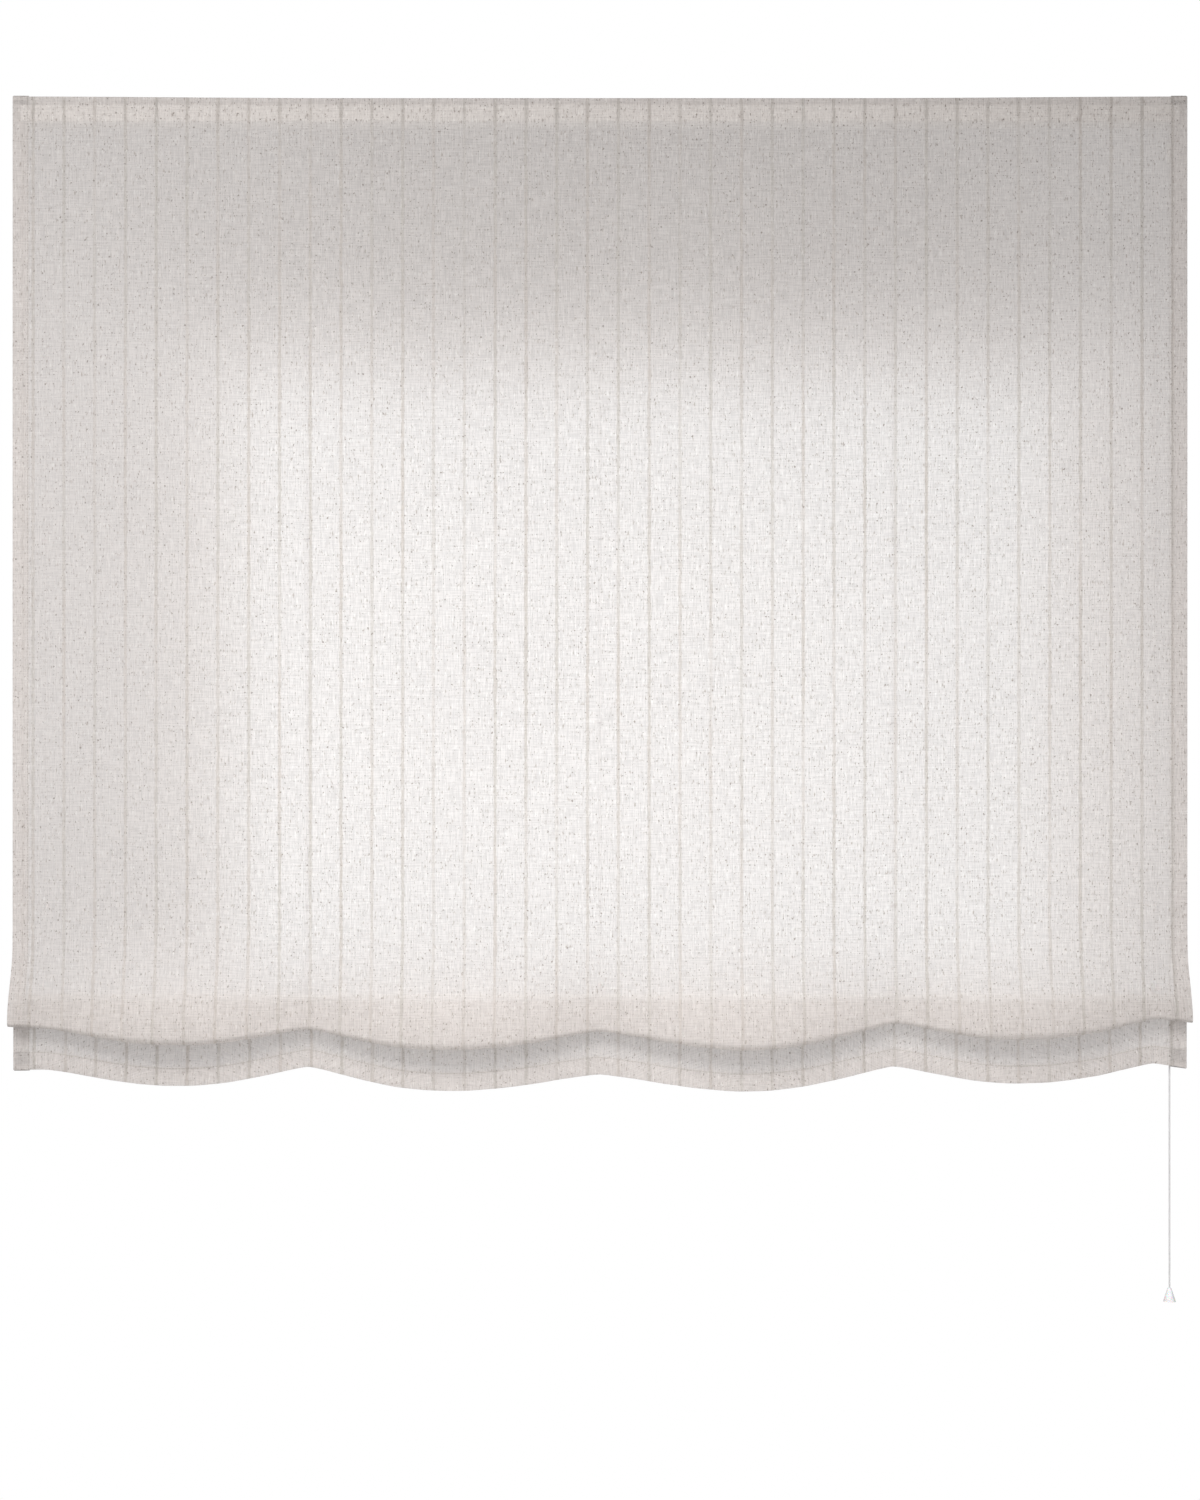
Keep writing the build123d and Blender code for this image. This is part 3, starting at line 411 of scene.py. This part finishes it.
# ---------------------------------------------------------------- materials
def slub_cloth():
    """Sheer slub cloth with tan stripes, brighter where light comes through it."""
    material, tree, shader = new_material("slub_cloth")
    weave = place(tree, "ShaderNodeUVMap", uv_map="weave").outputs["UV"]
    edges = place(tree, "ShaderNodeUVMap", uv_map="edges").outputs["UV"]
    across, along = place(tree, "ShaderNodeSeparateXYZ", {"Vector": weave}).outputs[:2]
    from_side, from_hem = place(tree, "ShaderNodeSeparateXYZ", {"Vector": edges}).outputs[:2]
    cloth = use_group(
        tree,
        slub_weave,
        across=across,
        along=along,
        stripe_pitch=STRIPE_PITCH,
        stripe_shift=STRIPE_SHIFT,
        stripe_width=STRIPE_WIDTH,
    )
    side_line = use_group(tree, stitches, distance=from_side, line=0.0205, along=along)["Mask"]
    hem_line = use_group(tree, stitches, distance=from_hem, line=0.0235, along=across)["Mask"]
    sewn = calc(tree, "MAXIMUM", side_line, hem_line)

    ground = blend_colours(tree, cloth["Cloud"], (0.775, 0.740, 0.722, 1), (0.835, 0.802, 0.782, 1))
    # Painted shade between the threads: the ground darkens where the weave's threads lie low.
    painted_gap_shade = blend_colours(tree, 0.16, ground, (0.40, 0.37, 0.36, 1))
    ground = blend_colours(tree, ease(tree, cloth["Thread"], 0.38, 0.62), painted_gap_shade, ground)
    tan = blend_colours(tree, cloth["Tint"], (0.51, 0.43, 0.355, 1), (0.46, 0.45, 0.385, 1))
    colour = blend_colours(tree, calc(tree, "MULTIPLY", cloth["Stripe"], 0.26), ground, tan)
    fleck_share = calc(tree, "MULTIPLY", cloth["Fleck"], 0.7)
    colour = blend_colours(tree, fleck_share, colour, (0.47, 0.42, 0.39, 1))
    # Painted glints: pale thread flecks lighten the cloth towards near white.
    pale_glint_share = calc(tree, "MULTIPLY", cloth["Pale"], 0.7)
    colour = blend_colours(tree, pale_glint_share, colour, (0.93, 0.91, 0.89, 1))
    speck_share = calc(tree, "MULTIPLY", cloth["Speck"], 0.75)
    colour = blend_colours(tree, speck_share, colour, (0.25, 0.22, 0.20, 1))
    colour = blend_colours(tree, calc(tree, "MULTIPLY", sewn, 0.45), colour, (0.60, 0.57, 0.54, 1))

    thick = calc(tree, "MAXIMUM", cloth["Stripe"], cloth["Fleck"])
    thick = calc(tree, "MAXIMUM", thick, calc(tree, "MAXIMUM", cloth["Speck"], sewn))
    cover = calc(tree, "MULTIPLY_ADD", thick, 0.17, ease(tree, cloth["Thread"], 0.36, 0.64, 0.74, 0.84))

    height = calc(tree, "MULTIPLY_ADD", thick, 0.5, calc(tree, "MULTIPLY", cloth["Thread"], 0.8))
    height = calc(tree, "SUBTRACT", height, sewn)
    normal = relief(tree, shader, height, 0.0006, 0.55)
    feed(tree, shader.inputs["Base Color"], colour)
    feed(tree, shader.inputs["Roughness"], ease(tree, cloth["Thread"], 0.3, 0.7, 0.78, 0.92))
    shader.inputs["Specular IOR Level"].default_value = 0.25
    shader.inputs["Sheen Weight"].default_value = 0.08
    shader.inputs["Sheen Roughness"].default_value = 0.5
    glow_colour = blend_colours(tree, calc(tree, "MULTIPLY", thick, 0.9), colour, (0.23, 0.19, 0.15, 1))
    through = place(tree, "ShaderNodeBsdfTranslucent", {"Color": glow_colour, "Normal": normal}).outputs[0]
    woven = place(tree, "ShaderNodeMixShader", {0: 0.42, 1: shader.outputs[0], 2: through}).outputs[0]
    gap = place(tree, "ShaderNodeBsdfTransparent").outputs[0]
    whole = place(tree, "ShaderNodeMixShader", {0: cover, 1: gap, 2: woven}).outputs[0]
    tree.links.new(whole, tree.nodes["Material Output"].inputs["Surface"])
    return material


def hard_finish(name, dark, light, roughness, size, height, metallic=0.0, strength=0.4):
    """A hard finish: fine grain, faint marks in colour and gloss."""
    material, tree, shader = new_material(name)
    surface = use_group(tree, grain, size=size, marks=0.035)
    feed(tree, shader.inputs["Base Color"], blend_colours(tree, surface["Marks"], dark, light))
    rough, glossy = roughness
    feed(tree, shader.inputs["Roughness"], ease(tree, surface["Marks"], 0.0, 1.0, rough, glossy))
    shader.inputs["Metallic"].default_value = metallic
    relief(tree, shader, surface["Grain"], height, strength)
    return material


def milky_plastic(name, dark, light, cloudiness):
    """Translucent moulded plastic."""
    material = hard_finish(name, dark, light, (0.30, 0.18), 0.0008, 0.00003)
    shader = material.node_tree.nodes["Principled BSDF"]
    shader.inputs["Subsurface Weight"].default_value = cloudiness
    shader.inputs["Subsurface Scale"].default_value = 0.003
    shader.inputs["IOR"].default_value = 1.49
    return material


def woven_tape(name, dark, light, thread, height):
    """Woven polyester tape."""
    material, tree, shader = new_material(name)
    weave = use_group(tree, tape_weave, thread=thread)
    feed(tree, shader.inputs["Base Color"], blend_colours(tree, weave["Shade"], dark, light))
    feed(tree, shader.inputs["Roughness"], ease(tree, weave["Shade"], 0.0, 1.0, 0.9, 0.7))
    shader.inputs["Sheen Weight"].default_value = 0.1
    relief(tree, shader, weave["Height"], height, 0.7)
    return material


def braided_cord(name, dark, light, pitch):
    """Braided polyester cord."""
    material, tree, shader = new_material(name)
    plait = use_group(tree, braid, pitch=pitch)
    feed(tree, shader.inputs["Base Color"], blend_colours(tree, plait["Shade"], dark, light))
    feed(tree, shader.inputs["Roughness"], ease(tree, plait["Shade"], 0.0, 1.0, 0.75, 0.5))
    relief(tree, shader, plait["Height"], 0.0003, 0.8)
    return material


def pale_floor():
    """Matt pale floor."""
    dark, light = (0.86, 0.86, 0.86, 1), (0.90, 0.90, 0.90, 1)
    return hard_finish("pale_floor", dark, light, (0.9, 0.8), 0.002, 0.0002)


# ---------------------------------------------------------------- meshes
def show(name, mesh, material):
    """Put a mesh in the scene with its material and slot."""
    piece = bpy.data.objects.new(name, mesh)
    bpy.context.scene.collection.objects.link(piece)
    piece.data.materials.append(material)
    return piece


def tube_curve(name, points, radius, smooth=True):
    """A round cord along points: their smooth spline, or straight from point to point."""
    curve = bpy.data.curves.new(name, "CURVE")
    curve.dimensions = "3D"
    curve.bevel_depth = radius
    curve.bevel_resolution = 3
    curve.use_fill_caps = True
    spline = curve.splines.new("NURBS" if smooth else "POLY")
    spline.points.add(len(points) - 1)
    for point, place_at in zip(spline.points, points):
        point.co = (*place_at, 1)
    if smooth:
        spline.order_u = 3
        spline.use_endpoint_u = True
        spline.resolution_u = 10
    return curve


def tube_mesh(name, points, radius, smooth=True):
    """The same cord as a mesh."""
    holder = bpy.data.objects.new(name, tube_curve(name, points, radius, smooth))
    bpy.context.scene.collection.objects.link(holder)
    bpy.context.view_layer.update()
    mesh = bpy.data.meshes.new_from_object(holder.evaluated_get(bpy.context.evaluated_depsgraph_get()))
    bpy.data.objects.remove(holder)
    mesh.name = name
    for face in mesh.polygons:
        face.use_smooth = True
    return mesh


# ---------------------------------------------------------------- cloth
def eased(value, low, high):
    """A smooth step from 0 at low to 1 at high."""
    share = min(max((value - low) / (high - low), 0.0), 1.0)
    return share * share * (3 - 2 * share)


def between(pair, share):
    """Part of the way from the first of a pair to the second."""
    return pair[0] + (pair[1] - pair[0]) * share


def bay_of(x):
    """The bay that x lies in, and how far across it, from 0 to 1."""
    for bay in range(len(RING_COLUMNS) - 1):
        left, right = RING_COLUMNS[bay], RING_COLUMNS[bay + 1]
        if left <= x <= right:
            return bay, (x - left) / (right - left)
    return None, 0.0


def swag(x):
    """How far the cloth has swagged at x: 0 at a ring column, 1 half way to the next."""
    bay, share = bay_of(x)
    if bay is None:
        return 0.0
    return (0.5 - 0.5 * math.cos(2 * math.pi * share)) ** SWAG_SHARPNESS


def depth_at(x, peaks, bellies, sides):
    """How far below the inner fold an edge with these peaks and bellies hangs at x."""
    bay, share = bay_of(x)
    if bay is None:
        out = (abs(x) - RING_OUTER_X) / (HALF_WIDTH - RING_OUTER_X)
        peak, side = (peaks[0], sides[0]) if x < 0 else (peaks[-1], sides[-1])
        return between((peak, side), out)
    peak = between((peaks[bay], peaks[bay + 1]), share)
    return peak + (bellies[bay] - peak) * swag(x)


def upright_curve(start, end, leans, steps):
    """Points along a cubic curve that is upright at both ends."""
    height = end[1] - start[1]
    corners = (start, (start[0], start[1] + leans[0] * height), (end[0], end[1] - leans[1] * height), end)
    points = []
    for step in range(steps + 1):
        t = step / steps
        s = 1 - t
        weights = (s**3, 3 * s * s * t, 3 * s * t * t, t**3)
        points.append(tuple(sum(w * c[i] for w, c in zip(weights, corners)) for i in (0, 1)))
    return points


def half_turn(middle, radius, sign, steps):
    """Points of a half turn from the front to the back, over or under its middle."""
    angles = [math.pi * (1 - step / steps) for step in range(steps + 1)]
    return [(middle[0] + radius * math.cos(a), middle[1] + sign * radius * math.sin(a)) for a in angles]


def spaced(start, end, steps):
    """Even values from start to end."""
    return [start + (end - start) * step / steps for step in range(steps + 1)]


def billow(x, z):
    """How far the hanging cloth stands off its plane between the sewn rings."""
    spans = [HEADING_Z] + sorted(ROW_HEIGHTS, reverse=True) + [INNER_FOLD_Z]
    for top, bottom in zip(spans, spans[1:]):
        if bottom <= z <= top:
            arch = math.sin(math.pi * (top - z) / (top - bottom)) ** 2
            slack = 0.5 + 0.5 * noise.noise((x * 2.3, top * 5.0, 1.5))
            drape = 0.0009 * noise.noise((x * 9.0, z * 1.6, 4.0)) * eased(-z, 0.05, 0.5)
            return 0.0024 * swag(x) * arch * slack + abs(drape)
    return 0.0


def cloth_lines(x):
    """The cloth's section at x as (y, z, flare) points: heading, hanging panel, and folded hem."""
    share = swag(x)
    ripple = 0.0010 * noise.noise((x * 30.0, 2.0, 0.0)) + 0.0016 * noise.noise((x * 9.0, 6.0, 0.0))
    fold_z = INNER_FOLD_Z - depth_at(x, FRONT_FOLD_PEAKS, FRONT_FOLD_BELLIES, FRONT_FOLD_SIDES) + ripple
    hem_z = INNER_FOLD_Z - depth_at(x, HEM_PEAKS, HEM_BELLIES, HEM_SIDES) + 0.6 * ripple
    start_z = INNER_FOLD_Z + FLAT_ABOVE_FOLD
    radius = between(FOLD_RADIUS, share)
    front_y = CLOTH_Y - between(FOLD_FORWARD, share)
    low_z = fold_z + radius
    inner_z = INNER_FOLD_Z - INNER_FOLD_RADIUS
    hem_y = RING_Y + INNER_FOLD_RADIUS - HEM_FORWARD_BELLY * share

    fall = upright_curve((CLOTH_Y, start_z), (front_y, low_z), FALL_LEANS, 60)
    fall_z, fall_y = [-z for y, z in fall], [y for y, z in fall]

    def front_y_at(z):
        """Where the front layer stands at a height."""
        return CLOTH_Y if z > start_z else float(np.interp(-z, fall_z, fall_y))

    turned_y = CLOTH_Y + TURN_GAP
    heading = [(turned_y, z, 0) for z in spaced(CLOTH_TOP_Z - TOP_TURN, CLOTH_TOP_Z - TURN_GAP, 3)]
    heading += [(CLOTH_Y + TURN_GAP / 2, CLOTH_TOP_Z, 0)]
    heading += [(CLOTH_Y, z, 0) for z in spaced(CLOTH_TOP_Z - TURN_GAP, HEADING_Z, 8)]

    panel = []
    for z in spaced(HEADING_Z, INNER_FOLD_Z, round((HEADING_Z - INNER_FOLD_Z) / PANEL_STEP))[1:]:
        flare = FOLD_FLARE * eased(-z, -INNER_FOLD_Z - 0.07, -INNER_FOLD_Z + 0.03)
        panel.append((front_y_at(z) - billow(x, z), z, flare))

    fold = []
    for z in spaced(INNER_FOLD_Z, low_z, 7)[1:]:
        flare = FOLD_FLARE * eased(-z, -INNER_FOLD_Z - 0.07, -INNER_FOLD_Z + 0.03)
        fold.append((front_y_at(z), z, flare))
    back_y = front_y + 2 * radius
    fold += [(y, z, FOLD_FLARE) for y, z in half_turn((front_y + radius, low_z), radius, -1, 14)[1:]]
    rise = upright_curve((back_y, low_z), (RING_Y - INNER_FOLD_RADIUS, inner_z), RISE_LEANS, 10)[1:]
    fold += [(y, z, between((FOLD_FLARE, HEM_FLARE), step / 9)) for step, (y, z) in enumerate(rise)]
    fold += [(y, z, HEM_FLARE) for y, z in half_turn((RING_Y, inner_z), INNER_FOLD_RADIUS, 1, 8)[1:]]
    hang = upright_curve((RING_Y + INNER_FOLD_RADIUS, inner_z), (hem_y, hem_z), HANG_LEANS, 40)
    hang_z, hang_y = [-z for y, z in hang], [y for y, z in hang]
    fold += [(y, z, HEM_FLARE) for y, z in hang[4::3]]
    fold += [(hem_y + TURN_GAP / 2, hem_z - TURN_GAP / 2, HEM_FLARE)]
    for z in spaced(hem_z, hem_z + HEM_TURN, 6):
        fold.append((float(np.interp(-z, hang_z, hang_y)) + TURN_GAP, z, HEM_FLARE))
    return heading, panel, fold


def cloth_columns():
    """Across the cloth: distance along the weave, place across the blind, and share of the turn."""
    columns = [(x, x, 0.0) for x in spaced(-HALF_WIDTH, HALF_WIDTH, round(2 * HALF_WIDTH / COLUMN_STEP))]
    turned = (0.0005, 0.0015, 0.008, 0.015, SIDE_TURN)
    for reach in turned:
        share = min(reach / 0.0015, 1.0)
        columns.append((HALF_WIDTH + reach, HALF_WIDTH - reach, share))
        columns.insert(0, (-HALF_WIDTH - reach, reach - HALF_WIDTH, share))
    return columns


def column_points(x, turn_share):
    """One column of the cloth in the blind's frame, and where the panel and the hem begin in it."""
    heading, panel, fold = cloth_lines(x)
    line = heading + panel + fold
    points = []
    for row, (y, z, flare) in enumerate(line):
        before, after = line[max(row - 1, 0)], line[min(row + 1, len(line) - 1)]
        dy, dz = after[0] - before[0], after[1] - before[1]
        length = math.hypot(dy, dz)
        turned = row < TURNED_TOP_ROWS or row >= len(line) - TURNED_HEM_ROWS
        away = -TURN_GAP if turned else TURN_GAP
        out = eased(abs(x), RING_OUTER_X - 0.03, HALF_WIDTH)
        outward = eased(abs(x), HALF_WIDTH - CORNER_LIFT_LENGTH, HALF_WIDTH)
        lift = CORNER_LIFT * outward * eased(z, HEADING_Z, CLOTH_TOP_Z)
        point = (
            x + math.copysign(flare * out, x),
            y - dz / length * away * turn_share,
            z + dy / length * away * turn_share + lift,
        )
        points.append(point)
    return points, len(heading), len(heading) + len(panel)


def grid_normals(points):
    """Smooth normals over the whole cloth, towards the room."""
    down = np.gradient(points, axis=0)
    right = np.gradient(points, axis=1)
    normals = np.cross(down, right)
    return normals / np.maximum(np.linalg.norm(normals, axis=2, keepdims=True), 1e-12)


def grid_mesh(name, points, normals, weave, edges):
    """A mesh of quads over rows and columns of points, with its two maps."""
    rows, columns = points.shape[:2]
    faces = []
    for row in range(rows - 1):
        for column in range(columns - 1):
            corner = row * columns + column
            faces.append((corner, corner + columns, corner + columns + 1, corner + 1))
    mesh = bpy.data.meshes.new(name)
    mesh.from_pydata(points.reshape(-1, 3).tolist(), [], faces)
    used = np.empty(len(mesh.loops), int)
    mesh.loops.foreach_get("vertex_index", used)
    for map_name, values in (("weave", weave), ("edges", edges)):
        layer = mesh.uv_layers.new(name=map_name)
        layer.data.foreach_set("uv", values.reshape(-1, 2)[used].astype(np.float32).ravel())
    mesh.polygons.foreach_set("use_smooth", [True] * len(faces))
    mesh.normals_split_custom_set_from_vertices(normals.reshape(-1, 3).tolist())
    return mesh


def make_cloth(material):
    """The cloth in three pieces that meet: heading, hanging panel, and folded hem."""
    columns = cloth_columns()
    made = [column_points(x, share) for _, x, share in columns]
    panel_start, fold_start = made[0][1], made[0][2]
    points = np.array([column for column, _, _ in made]).transpose(1, 0, 2)
    normals = grid_normals(points)
    steps = np.linalg.norm(np.diff(points, axis=0), axis=2)
    along = np.vstack([np.zeros(len(columns)), np.cumsum(steps, axis=0)])
    across = np.tile([u for u, _, _ in columns], (len(points), 1))
    weave = np.stack([across, along], axis=2)
    hem_row = len(points) - TURNED_HEM_ROWS
    edges = np.stack([HALF_WIDTH - np.abs(across), along[hem_row] - along], axis=2)

    spans = {
        "cloth_heading": (0, panel_start),
        "cloth_panel": (panel_start - 1, fold_start),
        "cloth_folded_hem": (fold_start - 1, len(points)),
    }
    pieces = {}
    for name, (first, last) in spans.items():
        rows = slice(first, last)
        mesh = grid_mesh(name, points[rows], normals[rows], weave[rows], edges[rows])
        piece = show(name, mesh, material)
        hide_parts("cloth")
        pieces[name] = piece
    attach(pieces["cloth_heading"], "headrail")
    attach(pieces["cloth_folded_hem"], "hem")
    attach(pieces["cloth_panel"], "headrail")
    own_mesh(pieces["cloth_panel"])


def make_rod_sleeve(material):
    """The rod's sleeve: tape wrapped round the rod and sewn to the cloth below it."""
    low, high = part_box("rod_pocket")
    middle_y, middle_z = (low.y + high.y) / 2, (low.z + high.z) / 2
    radius = (high.z - low.z) / 2
    around = 16
    station_step = 0.008
    pucker_height = 0.00035
    inside_cad = 0.0003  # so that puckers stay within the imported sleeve
    stations = spaced(low.x, high.x, round((high.x - low.x) / station_step))
    points, faces = [], []
    for x in stations:
        for step in range(around):
            angle = 2 * math.pi * step / around
            pucker = pucker_height * noise.noise((x * 60.0, math.cos(angle), math.sin(angle)))
            reach = radius - inside_cad + pucker
            points.append((x, middle_y + reach * math.cos(angle), middle_z + reach * math.sin(angle)))
    for ring in range(len(stations) - 1):
        for step in range(around):
            here, after = ring * around + step, ring * around + (step + 1) % around
            faces.append((here, after, after + around, here + around))
    mesh = bpy.data.meshes.new("rod_pocket_sleeve")
    mesh.from_pydata(points, [], faces)
    mesh.polygons.foreach_set("use_smooth", [True] * len(faces))
    sleeve = show("rod_pocket_sleeve", mesh, material)
    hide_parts("rod_pocket")
    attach(sleeve, "hem")


def make_ring_stitches(material):
    """The thread that holds each ring to the cloth: three turns about its wire."""
    loops, loop_pitch = 3, 0.0013
    for row in range(1, 6):
        low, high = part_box(f"rings_row_{row}")
        level = (low.z + high.z) / 2 if row > 1 else low.z + RING_WIRE_RADIUS
        wire_y = RING_Y - RING_RADIUS
        body = "hem" if row == 1 else f"ring_row_{row}"
        points, faces = [], []
        for column_x in RING_COLUMNS:
            for loop in range(loops):
                x = column_x + (loop - 1) * loop_pitch
                if row > 1:
                    oval = ((wire_y - 0.0003, level), 0.0019, 0.0015)
                else:
                    oval = ((RING_Y, level - 0.0003), 0.0014, 0.0017)
                add_thread_loop(points, faces, x, *oval)
        mesh = bpy.data.meshes.new(f"ring_stitches_{row}")
        mesh.from_pydata(points, [], faces)
        mesh.polygons.foreach_set("use_smooth", [True] * len(faces))
        piece = show(f"ring_stitches_{row}", mesh, material)
        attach(piece, body)


def add_thread_loop(points, faces, x, middle, half_y, half_z):
    """One turn of sewing thread round a ring's wire, in a plane across the blind."""
    around, sides, thread = 14, 6, 0.00028
    first = len(points)
    for step in range(around):
        angle = 2 * math.pi * step / around
        for side in range(sides):
            turn = 2 * math.pi * side / sides
            swell = thread * math.cos(turn)
            y = middle[0] + (half_y + swell) * math.cos(angle)
            z = middle[1] + (half_z + swell) * math.sin(angle)
            points.append((x + thread * math.sin(turn), y, z))
    for step in range(around):
        for side in range(sides):
            here = first + step * sides
            after = first + (step + 1) % around * sides
            across = (side + 1) % sides
            faces.append((here + side, after + side, after + across, here + across))


# ---------------------------------------------------------------- cords
def lane_y(column):
    """Where the cord of one ring column lies across the headrail."""
    return LANES_MIDDLE_Y + (2 - column) * CORD_LANE_PITCH


def make_lift_cords(material):
    """Each lift cord: its drop behind the cloth, its run in the headrail, its strand to the joiner."""
    leave_z = max(ROW_HEIGHTS) + CORD_LEAVES_RING
    enter_z = HEADING_Z - CORD_ENTERS_RAIL
    for column, x in enumerate(RING_COLUMNS):
        lane = lane_y(column)
        drop = [(x, RING_Y, ORB_CORD_Z), (x, RING_Y, leave_z), (x, lane, enter_z), (x, lane, HEADING_Z)]
        mesh = tube_mesh(f"lift_cord_drop_{column + 1}", drop, LIFT_CORD_RADIUS)
        piece = show(mesh.name, mesh, material)
        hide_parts(f"lift_cord_{column + 1}")
        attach(piece, "headrail")
        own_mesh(piece)

        over = LOCK_BEND if column == len(RING_COLUMNS) - 1 else GUIDE_BEND
        run = [(x, lane, HEADING_Z)] + quarter_turn(x + over, CORD_RUN_Z - over, lane, over, rising=True)
        run += quarter_turn(PULL_X - LOCK_BEND, CORD_RUN_Z - LOCK_BEND, lane, LOCK_BEND, rising=False)
        run += [(PULL_X, lane, HEADING_Z)]
        mesh = tube_mesh(f"lift_cord_run_{column + 1}", run, LIFT_CORD_RADIUS, smooth=False)
        piece = show(mesh.name, mesh, material)
        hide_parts(f"lift_cord_{column + 1}")
        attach(piece, "headrail")

        strand = [(PULL_X, lane, HEADING_Z), (PULL_X, lane, JOINER_TOP_Z - JOINER_GRIP)]
        mesh = tube_mesh(f"lift_cord_strand_{column + 1}", strand, LIFT_CORD_RADIUS, smooth=False)
        piece = show(mesh.name, mesh, material)
        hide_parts(f"lift_cord_{column + 1}")
        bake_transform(piece)


def quarter_turn(x, z, y, radius, rising):
    """Points over a roller: from upright to level, or from level to upright."""
    angles = spaced(math.pi, math.pi / 2, 8) if rising else spaced(math.pi / 2, 0, 8)
    return [(x + radius * math.cos(a), y, z + radius * math.sin(a)) for a in angles]


def make_pull_cord(material):
    """The pull cord from the joiner down to its knot in the tassel."""
    y = LANES_MIDDLE_Y
    top = JOINER_BOTTOM_Z + JOINER_GRIP
    heights = [top, -0.30, -0.56, -0.82, -1.08, -1.34, PULL_KNOT_Z]
    points = [(PULL_X, y, z) for z in heights]
    curve = tube_curve("pull_cord_line", points, PULL_CORD_RADIUS)
    cord = show("pull_cord_line", curve, material)
    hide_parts("pull_cord")
    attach(cord, "pull")
    knot = make_knot(material)


def make_knot(material):
    """The knot inside the tassel: a cord wound over itself."""
    y = LANES_MIDDLE_Y
    turns, steps = 2, 36
    points = []
    for step in range(steps + 1):
        angle = 2 * math.pi * step / steps * turns
        reach = 0.0009 + 0.0004 * math.sin(1.5 * angle)
        rise = PULL_KNOT_RADIUS * 0.55 * math.cos(math.pi * step / steps)
        points.append((PULL_X + reach * math.cos(angle), y + reach * math.sin(angle), PULL_KNOT_Z + rise))
    knot = show("pull_cord_knot", tube_mesh("pull_cord_knot", points, 0.0009), material)
    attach(knot, "pull")
    return knot


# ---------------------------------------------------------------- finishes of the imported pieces
def paint(nodes, material):
    """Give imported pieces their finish."""
    for node in nodes:
        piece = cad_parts[node]
        piece.data.materials.clear()
        piece.data.materials.append(material)


slub_weave = make_slub_weave()
stitches = make_stitches()
grain = make_grain()
tape_weave = make_tape_weave()
braid = make_braid()

white_rail = hard_finish(
    "white_rail", (0.80, 0.80, 0.79, 1), (0.86, 0.86, 0.85, 1), (0.42, 0.34), 0.0007, 0.00006
)
white_plastic = hard_finish(
    "white_plastic", (0.82, 0.82, 0.80, 1), (0.88, 0.88, 0.86, 1), (0.5, 0.38), 0.0005, 0.00005
)
roller_plastic = hard_finish(
    "roller_plastic", (0.84, 0.84, 0.82, 1), (0.90, 0.90, 0.88, 1), (0.3, 0.2), 0.0009, 0.00002
)
bracket_paint = hard_finish(
    "bracket_paint", (0.78, 0.78, 0.77, 1), (0.84, 0.84, 0.83, 1), (0.46, 0.36), 0.0008, 0.00008
)
zinc_steel = hard_finish(
    "zinc_steel", (0.50, 0.51, 0.53, 1), (0.66, 0.67, 0.69, 1), (0.42, 0.26), 0.0003, 0.00003, 1.0
)
pawl_brass = hard_finish(
    "pawl_brass", (0.60, 0.44, 0.20, 1), (0.78, 0.60, 0.30, 1), (0.4, 0.25), 0.0003, 0.00003, 1.0
)
rod_paint = hard_finish(
    "rod_paint", (0.84, 0.84, 0.83, 1), (0.89, 0.89, 0.88, 1), (0.35, 0.25), 0.0006, 0.00003
)
clear_plastic = milky_plastic(
    "clear_plastic", (0.74, 0.745, 0.765, 1), (0.82, 0.825, 0.84, 1), 0.3
)
hook_tape_weave = woven_tape(
    "hook_tape_weave", (0.70, 0.70, 0.68, 1), (0.88, 0.88, 0.86, 1), 0.0013, 0.0006
)
sewn_tape_weave = woven_tape(
    "sewn_tape_weave", (0.72, 0.71, 0.69, 1), (0.90, 0.89, 0.87, 1), 0.0008, 0.0003
)
cord_braid = braided_cord(
    "cord_braid", (0.52, 0.52, 0.53, 1), (0.68, 0.68, 0.69, 1), 0.0022
)
cloth_weave = slub_cloth()

add_camera()
make_pull_cord(cord_braid)
make_lift_cords(cord_braid)
add_surroundings()
add_lights()
add_floor()

numbers = range(1, 5)
sides = ("left", "centre", "right")
paint(["headrail"], white_rail)
paint(["end_cap_left", "end_cap_right", "lock_housing", "cord_joiner"], white_plastic)
paint([f"cord_guide_{number}" for number in numbers] + [f"lever_{side}" for side in sides], white_plastic)
paint([f"guide_roller_{number}" for number in numbers], roller_plastic)
paint(["lock_entry_roller", "lock_exit_roller"], roller_plastic)
paint([f"bracket_{side}" for side in sides], bracket_paint)
paint(["bracket_rivets", "guide_axles", "lock_axles"], zinc_steel)
paint(["lock_pawl"], pawl_brass)
paint(["weight_rod"], rod_paint)
paint([f"rings_row_{row}" for row in range(1, 6)] + ["cord_orbs", "cone_tassel"], clear_plastic)
paint(["hook_tape"], hook_tape_weave)
paint(["loop_tape"], sewn_tape_weave)

make_rod_sleeve(sewn_tape_weave)
make_cloth(cloth_weave)
make_ring_stitches(cord_braid)
